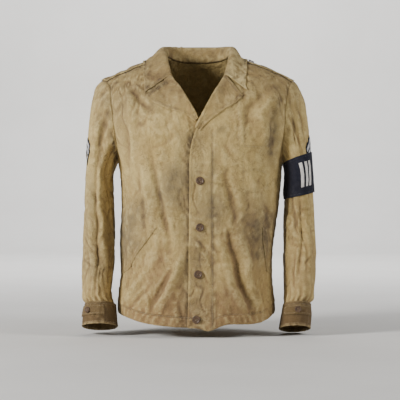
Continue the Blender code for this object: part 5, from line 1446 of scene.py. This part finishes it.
def makeStitchTree():
    nodes, start, end = newGroup(
        "runningStitch", "GeometryNodeTree",
        {"Geometry": "Geometry", "Stitch length": "Float", "Thread radius": "Float", "Thread": "Material"},
        {"Geometry": "Geometry"})
    bead = nodes.add("GeometryNodeMeshUVSphere", {
        "Segments": stitch["sides"], "Rings": stitch["rings"], "Radius": 1.0})
    aim, up, reach = (
        nodes.add("GeometryNodeInputNamedAttribute", {"Name": name}, data_type=kind).outputs[0]
        for name, kind in (("aim", "FLOAT_VECTOR"), ("up", "FLOAT_VECTOR"), ("reach", "FLOAT")))
    turned = nodes.add("FunctionNodeAlignRotationToVector", {"Vector": aim}, axis="X").outputs[0]
    turned = nodes.add("FunctionNodeAlignRotationToVector", {"Rotation": turned, "Vector": up},
                       axis="Z", pivot_axis="X").outputs[0]
    length = nodes.times(nodes.times(start["Stitch length"], reach), 0.5)
    size = nodes.add("ShaderNodeCombineXYZ", {0: length, 1: start["Thread radius"], 2: start["Thread radius"]})
    copies = nodes.add("GeometryNodeInstanceOnPoints", {
        "Points": start["Geometry"], "Instance": bead.outputs["Mesh"], "Rotation": turned, "Scale": size.outputs[0]})
    real = nodes.add("GeometryNodeRealizeInstances", {0: copies.outputs[0]})
    dressed = nodes.add("GeometryNodeSetMaterial", {"Geometry": real.outputs[0], "Material": start["Thread"]})
    nodes.fill(end, {0: dressed.outputs[0]})
    return nodes.tree


def stitchPoints(thread):
    found = []
    for place, normal, kind in stitchLines:
        run = np.concatenate([[0], np.cumsum(np.linalg.norm(np.diff(place, axis=0), axis=1))])
        count = int(run[-1] / stitch["pitch"])
        if kind != thread or count < 2:
            continue
        at = (np.arange(count) + 0.5) * run[-1] / count
        here, ahead, behind, up = (
            np.stack([np.interp(at + step, run, values[:, k]) for k in range(3)], -1)
            for step, values in ((0, place), (0.001, place), (-0.001, place), (0, normal)))
        found.append((here + unit(up) * 0.00008, unit(ahead - behind), unit(up), np.full(count, 1.0)))
    return [np.concatenate(kind) for kind in zip(*found)]


def makeStitching(name, points, thread, tree):
    mesh = bpy.data.meshes.new(name + "Points")
    mesh.from_pydata(points[0].tolist(), [], [])
    kinds = (("aim", "FLOAT_VECTOR", "vector"), ("up", "FLOAT_VECTOR", "vector"), ("reach", "FLOAT", "value"))
    for values, (key, kind, slot) in zip(points[1:], kinds):
        mesh.attributes.new(key, kind, "POINT").data.foreach_set(slot, values.ravel().astype(np.float32))
    guide = linked(name + "Points", mesh)
    modifier = guide.modifiers.new("stitches", "NODES")
    modifier.node_group = tree
    sockets = {item.name: item.identifier for item in tree.interface.items_tree if item.in_out == "INPUT"}
    modifier[sockets["Stitch length"]] = stitch["length"]
    modifier[sockets["Thread radius"]] = stitch["radius"]
    modifier[sockets["Thread"]] = thread
    graph = bpy.context.evaluated_depsgraph_get()
    plain = bpy.data.meshes.new_from_object(guide.evaluated_get(graph))
    guide.modifiers.clear()
    bpy.data.objects.remove(guide)
    plain.name = name
    plain.shade_smooth()
    made[name] = linked(name, plain)
    print(name, len(points[0]), "stitches")


# stage and light

studio = {"floor": -0.6775, "wall": 6.5, "wide": 9.0, "curve": 1.2,
          "key": 198.0, "edge": 34.0, "front": 2.0, "wallLight": 330.0, "sky": 0.12}


def makeStage():
    profile = [(-9.0, studio["floor"])]
    for angle in np.radians(np.linspace(0, 90, 13)):
        profile.append((studio["wall"] - studio["curve"] * (1 - math.sin(angle)),
                        studio["floor"] + studio["curve"] * (1 - math.cos(angle))))
    profile.append((studio["wall"], 4.5))
    points = [(x, y, z) for y, z in profile for x in (-studio["wide"], studio["wide"])]
    faces = [(2 * i, 2 * i + 1, 2 * i + 3, 2 * i + 2) for i in range(len(profile) - 1)]
    mesh = bpy.data.meshes.new("paleFloor")
    mesh.from_pydata(points, [], faces)
    mesh.update()
    mesh.shade_smooth()
    material, nodes, shader = newMaterial("palePaper")
    cloud = nodes.noise(nodes.add("ShaderNodeTexCoord").outputs["Object"], 3.0)
    tone = nodes.mix(nodes.spread(cloud, 0.3, 0.7, 0, 1), (0.74, 0.73, 0.71, 1), (0.77, 0.76, 0.74, 1))
    nodes.fill(shader, {"Base Color": tone, "Roughness": 0.9})
    mesh.materials.append(material)
    linked("paleFloor", mesh)


def makeLight(name, place, aim, size, power, color=(1, 1, 1)):
    data = bpy.data.lights.new(name, "AREA")
    data.size, data.energy, data.color = size, power, color
    lamp = linked(name, data)
    lamp.location = place
    lamp.rotation_euler = (Vector(aim) - Vector(place)).to_track_quat("-Z", "Y").to_euler()


def makeLights():
    makeLight("keyLight", (-3.10, -2.15, 1.00), (0, 0, -0.35), 0.9, studio["key"], (1.0, 0.985, 0.96))
    makeLight("edgeLight", (2.2, -0.90, 0.80), (0, 0, -0.30), 0.8, studio["edge"], (1.0, 0.99, 0.97))
    makeLight("frontLight", (0.5, -2.9, 0.1), (0, 0, -0.35), 1.2, studio["front"])
    makeLight("wallLight", (0, 2.6, 3.2), (0, studio["wall"], 0.2), 2.0, studio["wallLight"])
    world = bpy.data.worlds.new("studioAir")
    world.use_nodes = True
    sky = world.node_tree.nodes["Background"].inputs
    sky["Color"].default_value = (0.93, 0.95, 1.0, 1)
    sky["Strength"].default_value = studio["sky"]
    bpy.context.scene.world = world


# putting it together

made = {}


def makeBody(panels, finish):
    seamsOf = {"back": ("firstColumn", "lastColumn"), "front_right": ("firstColumn",), "front_left": ("lastColumn",)}
    rimsOf = {"back": (1, 0, 0, 0), "front_right": (1, 0, 0, 1), "front_left": (1, 0, 1, 0)}
    for name, seams in seamsOf.items():
        outer, out = panels[name]
        marks = marksAt(outer)
        dark, warm, _, rub = channels(marks)
        rise = polyLengths(outer, 0)
        rub += edgeRub(outer, ("firstRow",), 0.004)
        # a dark band right at the seams and the shoulder edge: dirt, together with painted shade between the parts
        lineDirt(outer, marks, seams + ("lastRow",), 0.0, 0.62, 0.0032)
        lineDirt(outer, marks, seams, 0.0066, 0.30, 0.0018)
        lineDirt(outer, marks, ("firstRow",), body["hemStitch"], 0.50, 0.0026)
        warm += 0.26 * (1 - ease(rise, 0.022, 0.045))
        if name != "back":
            flyDirt(outer, marks, name == "front_left")
            # painted shadow of the shoulder strap: a dark band on the front just ahead of the strap's front edge
            ahead = strap["middleY"] - strap["halfWidth"] - outer[..., 1]
            beside = ease(np.abs(outer[..., 0]), 0.110, 0.125) * (outer[..., 2] > -0.11)
            dark += 0.85 * beside * bell(ahead - 0.0015, 0.0034)
        thick = body["cloth"] + 0.0008 * (1 - ease(rise, 0.022, 0.027))
        layPiece(name, "cloth", outer, outer - out * thick[..., None], finish["shell"], marks, rims=rimsOf[name])
        sewEdges(outer, out, ("firstRow",), body["hemStitch"])
    print("body made")


def flyDirt(outer, marks, onTop):  # the fly's edge and its stitching are the dirtiest lines of the front, and the right front beside the overlapped edge is darkened as painted shadow of the left front, with dirt
    x, z = outer[..., 0], outer[..., 2]
    dark, _, grey, _ = channels(marks)
    below = ease(-z, 0.165, 0.20)
    if not onTop:
        # painted shadow of the overlapping left front, with dirt, darker and greyer toward the overlapped edge
        dark += 0.75 * below * ease(x, -0.0350, -0.0225)
        grey += 0.20 * below * ease(x, -0.060, -0.030)
        return
    worn = np.clip(0.75 + 0.6 * noise(outer, (0.02, 0.02, 0.035), 303), 0.1, 1.4)
    dark += 0.62 * below * worn * bell(x - body["flyStitch"], 0.0027) + 0.24 * worn * oldStitchShare(x, z, 0.0026)
    grey += below * worn * (0.30 * bell(x - body["flyStitch"], 0.009) + 0.22 * bell(x - 0.004, 0.014))
    lineDirt(outer, marks, ("firstColumn",), 0.0055, 0.30, 0.0018)


def sewFront(panels, tree):
    outer, out = panels["front_left"]
    place, normal = lineFrom(outer[2:], out[2:], "firstColumn", 0.0050)
    keep = place[:, 2] < lapel["breaks"][1] - 0.012
    sew((place[keep], normal[keep]))
    lines = [np.array([(body["flyStitch"], z) for z in np.linspace(-0.640, -0.182, 150)])]
    for line in oldStitches:
        run = np.linspace(0, len(line) - 1, 14 * (len(line) - 1))
        lines.append(np.stack([np.interp(run, range(len(line)), values) for values in zip(*line)], -1))
    for line in lines:
        place, normal = laidOn(tree, *fromFront(line[None, :, 0], line[None, :, 1]), 0.0)
        sew((place[0], normal[0]))
    for name in ("front_right", "front_left"):  # beside the shoulder seam
        place, normal = lineFrom(*panels[name], "lastRow", 0.006)
        sew((place[4:-2], normal[4:-2]))


def makeJacket():
    finish = makeFinishes()
    panels = bodyPanels()
    print("panels shaped")
    sides = ((-1, "right"), (1, "left"))
    for side, suffix in sides:
        makeSleeve(panels, side, suffix, finish)
    makeBody(panels, finish)
    laid = [outer for outer, _ in panels.values()]
    tree = surfaceTree(*laid)
    for side, suffix in sides:
        laid.append(makeStrap(panels, tree, side, suffix, finish))
        makeLapel(panels, tree, side, suffix, finish)
        makePocket(tree, side, suffix, finish)
    print("straps, lapels and pockets made")
    makeCollar(panels, surfaceTree(*laid), finish)
    sewFront(panels, tree)
    for number, (x, z) in enumerate(buttons["places"], 1):
        place, out = laidOn(tree, *fromFront(np.array([[x]]), np.array([[z]])), 0.0)
        makeButton(f"front_button_{number}", place[0, 0], out[0, 0], buttons["front"], finish, 12 + 31 * number)
    middles, spans, ups = (np.array(kind) for kind in zip(*buttonThreads))
    onButtons = middles, unit(spans), ups, np.linalg.norm(spans, axis=1) * 1.25 / stitch["length"]
    khaki = [np.concatenate(pair) for pair in zip(stitchPoints("khaki"), onButtons)]
    stitchTree = makeStitchTree()
    makeStitching("stitching_khaki", khaki, finish["thread"], stitchTree)
    makeStitching("stitching_dark", stitchPoints("dark"), finish["darkThread"], stitchTree)


makeJacket()
makeStage()
makeLights()

cutSizes = {  # width and length of each flat cut, its area, and what it is sewn to. {} stands for left and right
    "back": (0.58, 0.70, 0.325, "front_left front_right"),
    "front_{}": (0.32, 0.69, 0.176, "back"),
    "sleeve_{}": (0.52, 0.60, 0.176, "front_{} back"),
    "collar": (0.50, 0.115, 0.049, "back front_left"),
    "lapel_{}": (0.11, 0.17, 0.0075, "front_{}"),
    "cuff_{}": (0.30, 0.057, 0.0165, "sleeve_{}"),
    "cuff_tab_{}": (0.023, 0.085, 0.0019, "cuff_{}"),
    "strap_{}": (0.047, 0.125, 0.0056, "front_{}"),
    "pocket_welt_{}": (0.018, 0.112, 0.0020, "front_{}"),
    "chevron_{}": (0.090, 0.070, 0.0034, "sleeve_{}"),
    "armband": (0.43, 0.092, 0.037, "sleeve_left"),
}
for name, piece in made.items():
    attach(piece, "root")
    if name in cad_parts:
        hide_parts(name)
for template, (width, length, area, carriers) in cutSizes.items():
    for suffix in ("left", "right") if "{}" in template else ("",):
        name = template.format(suffix)
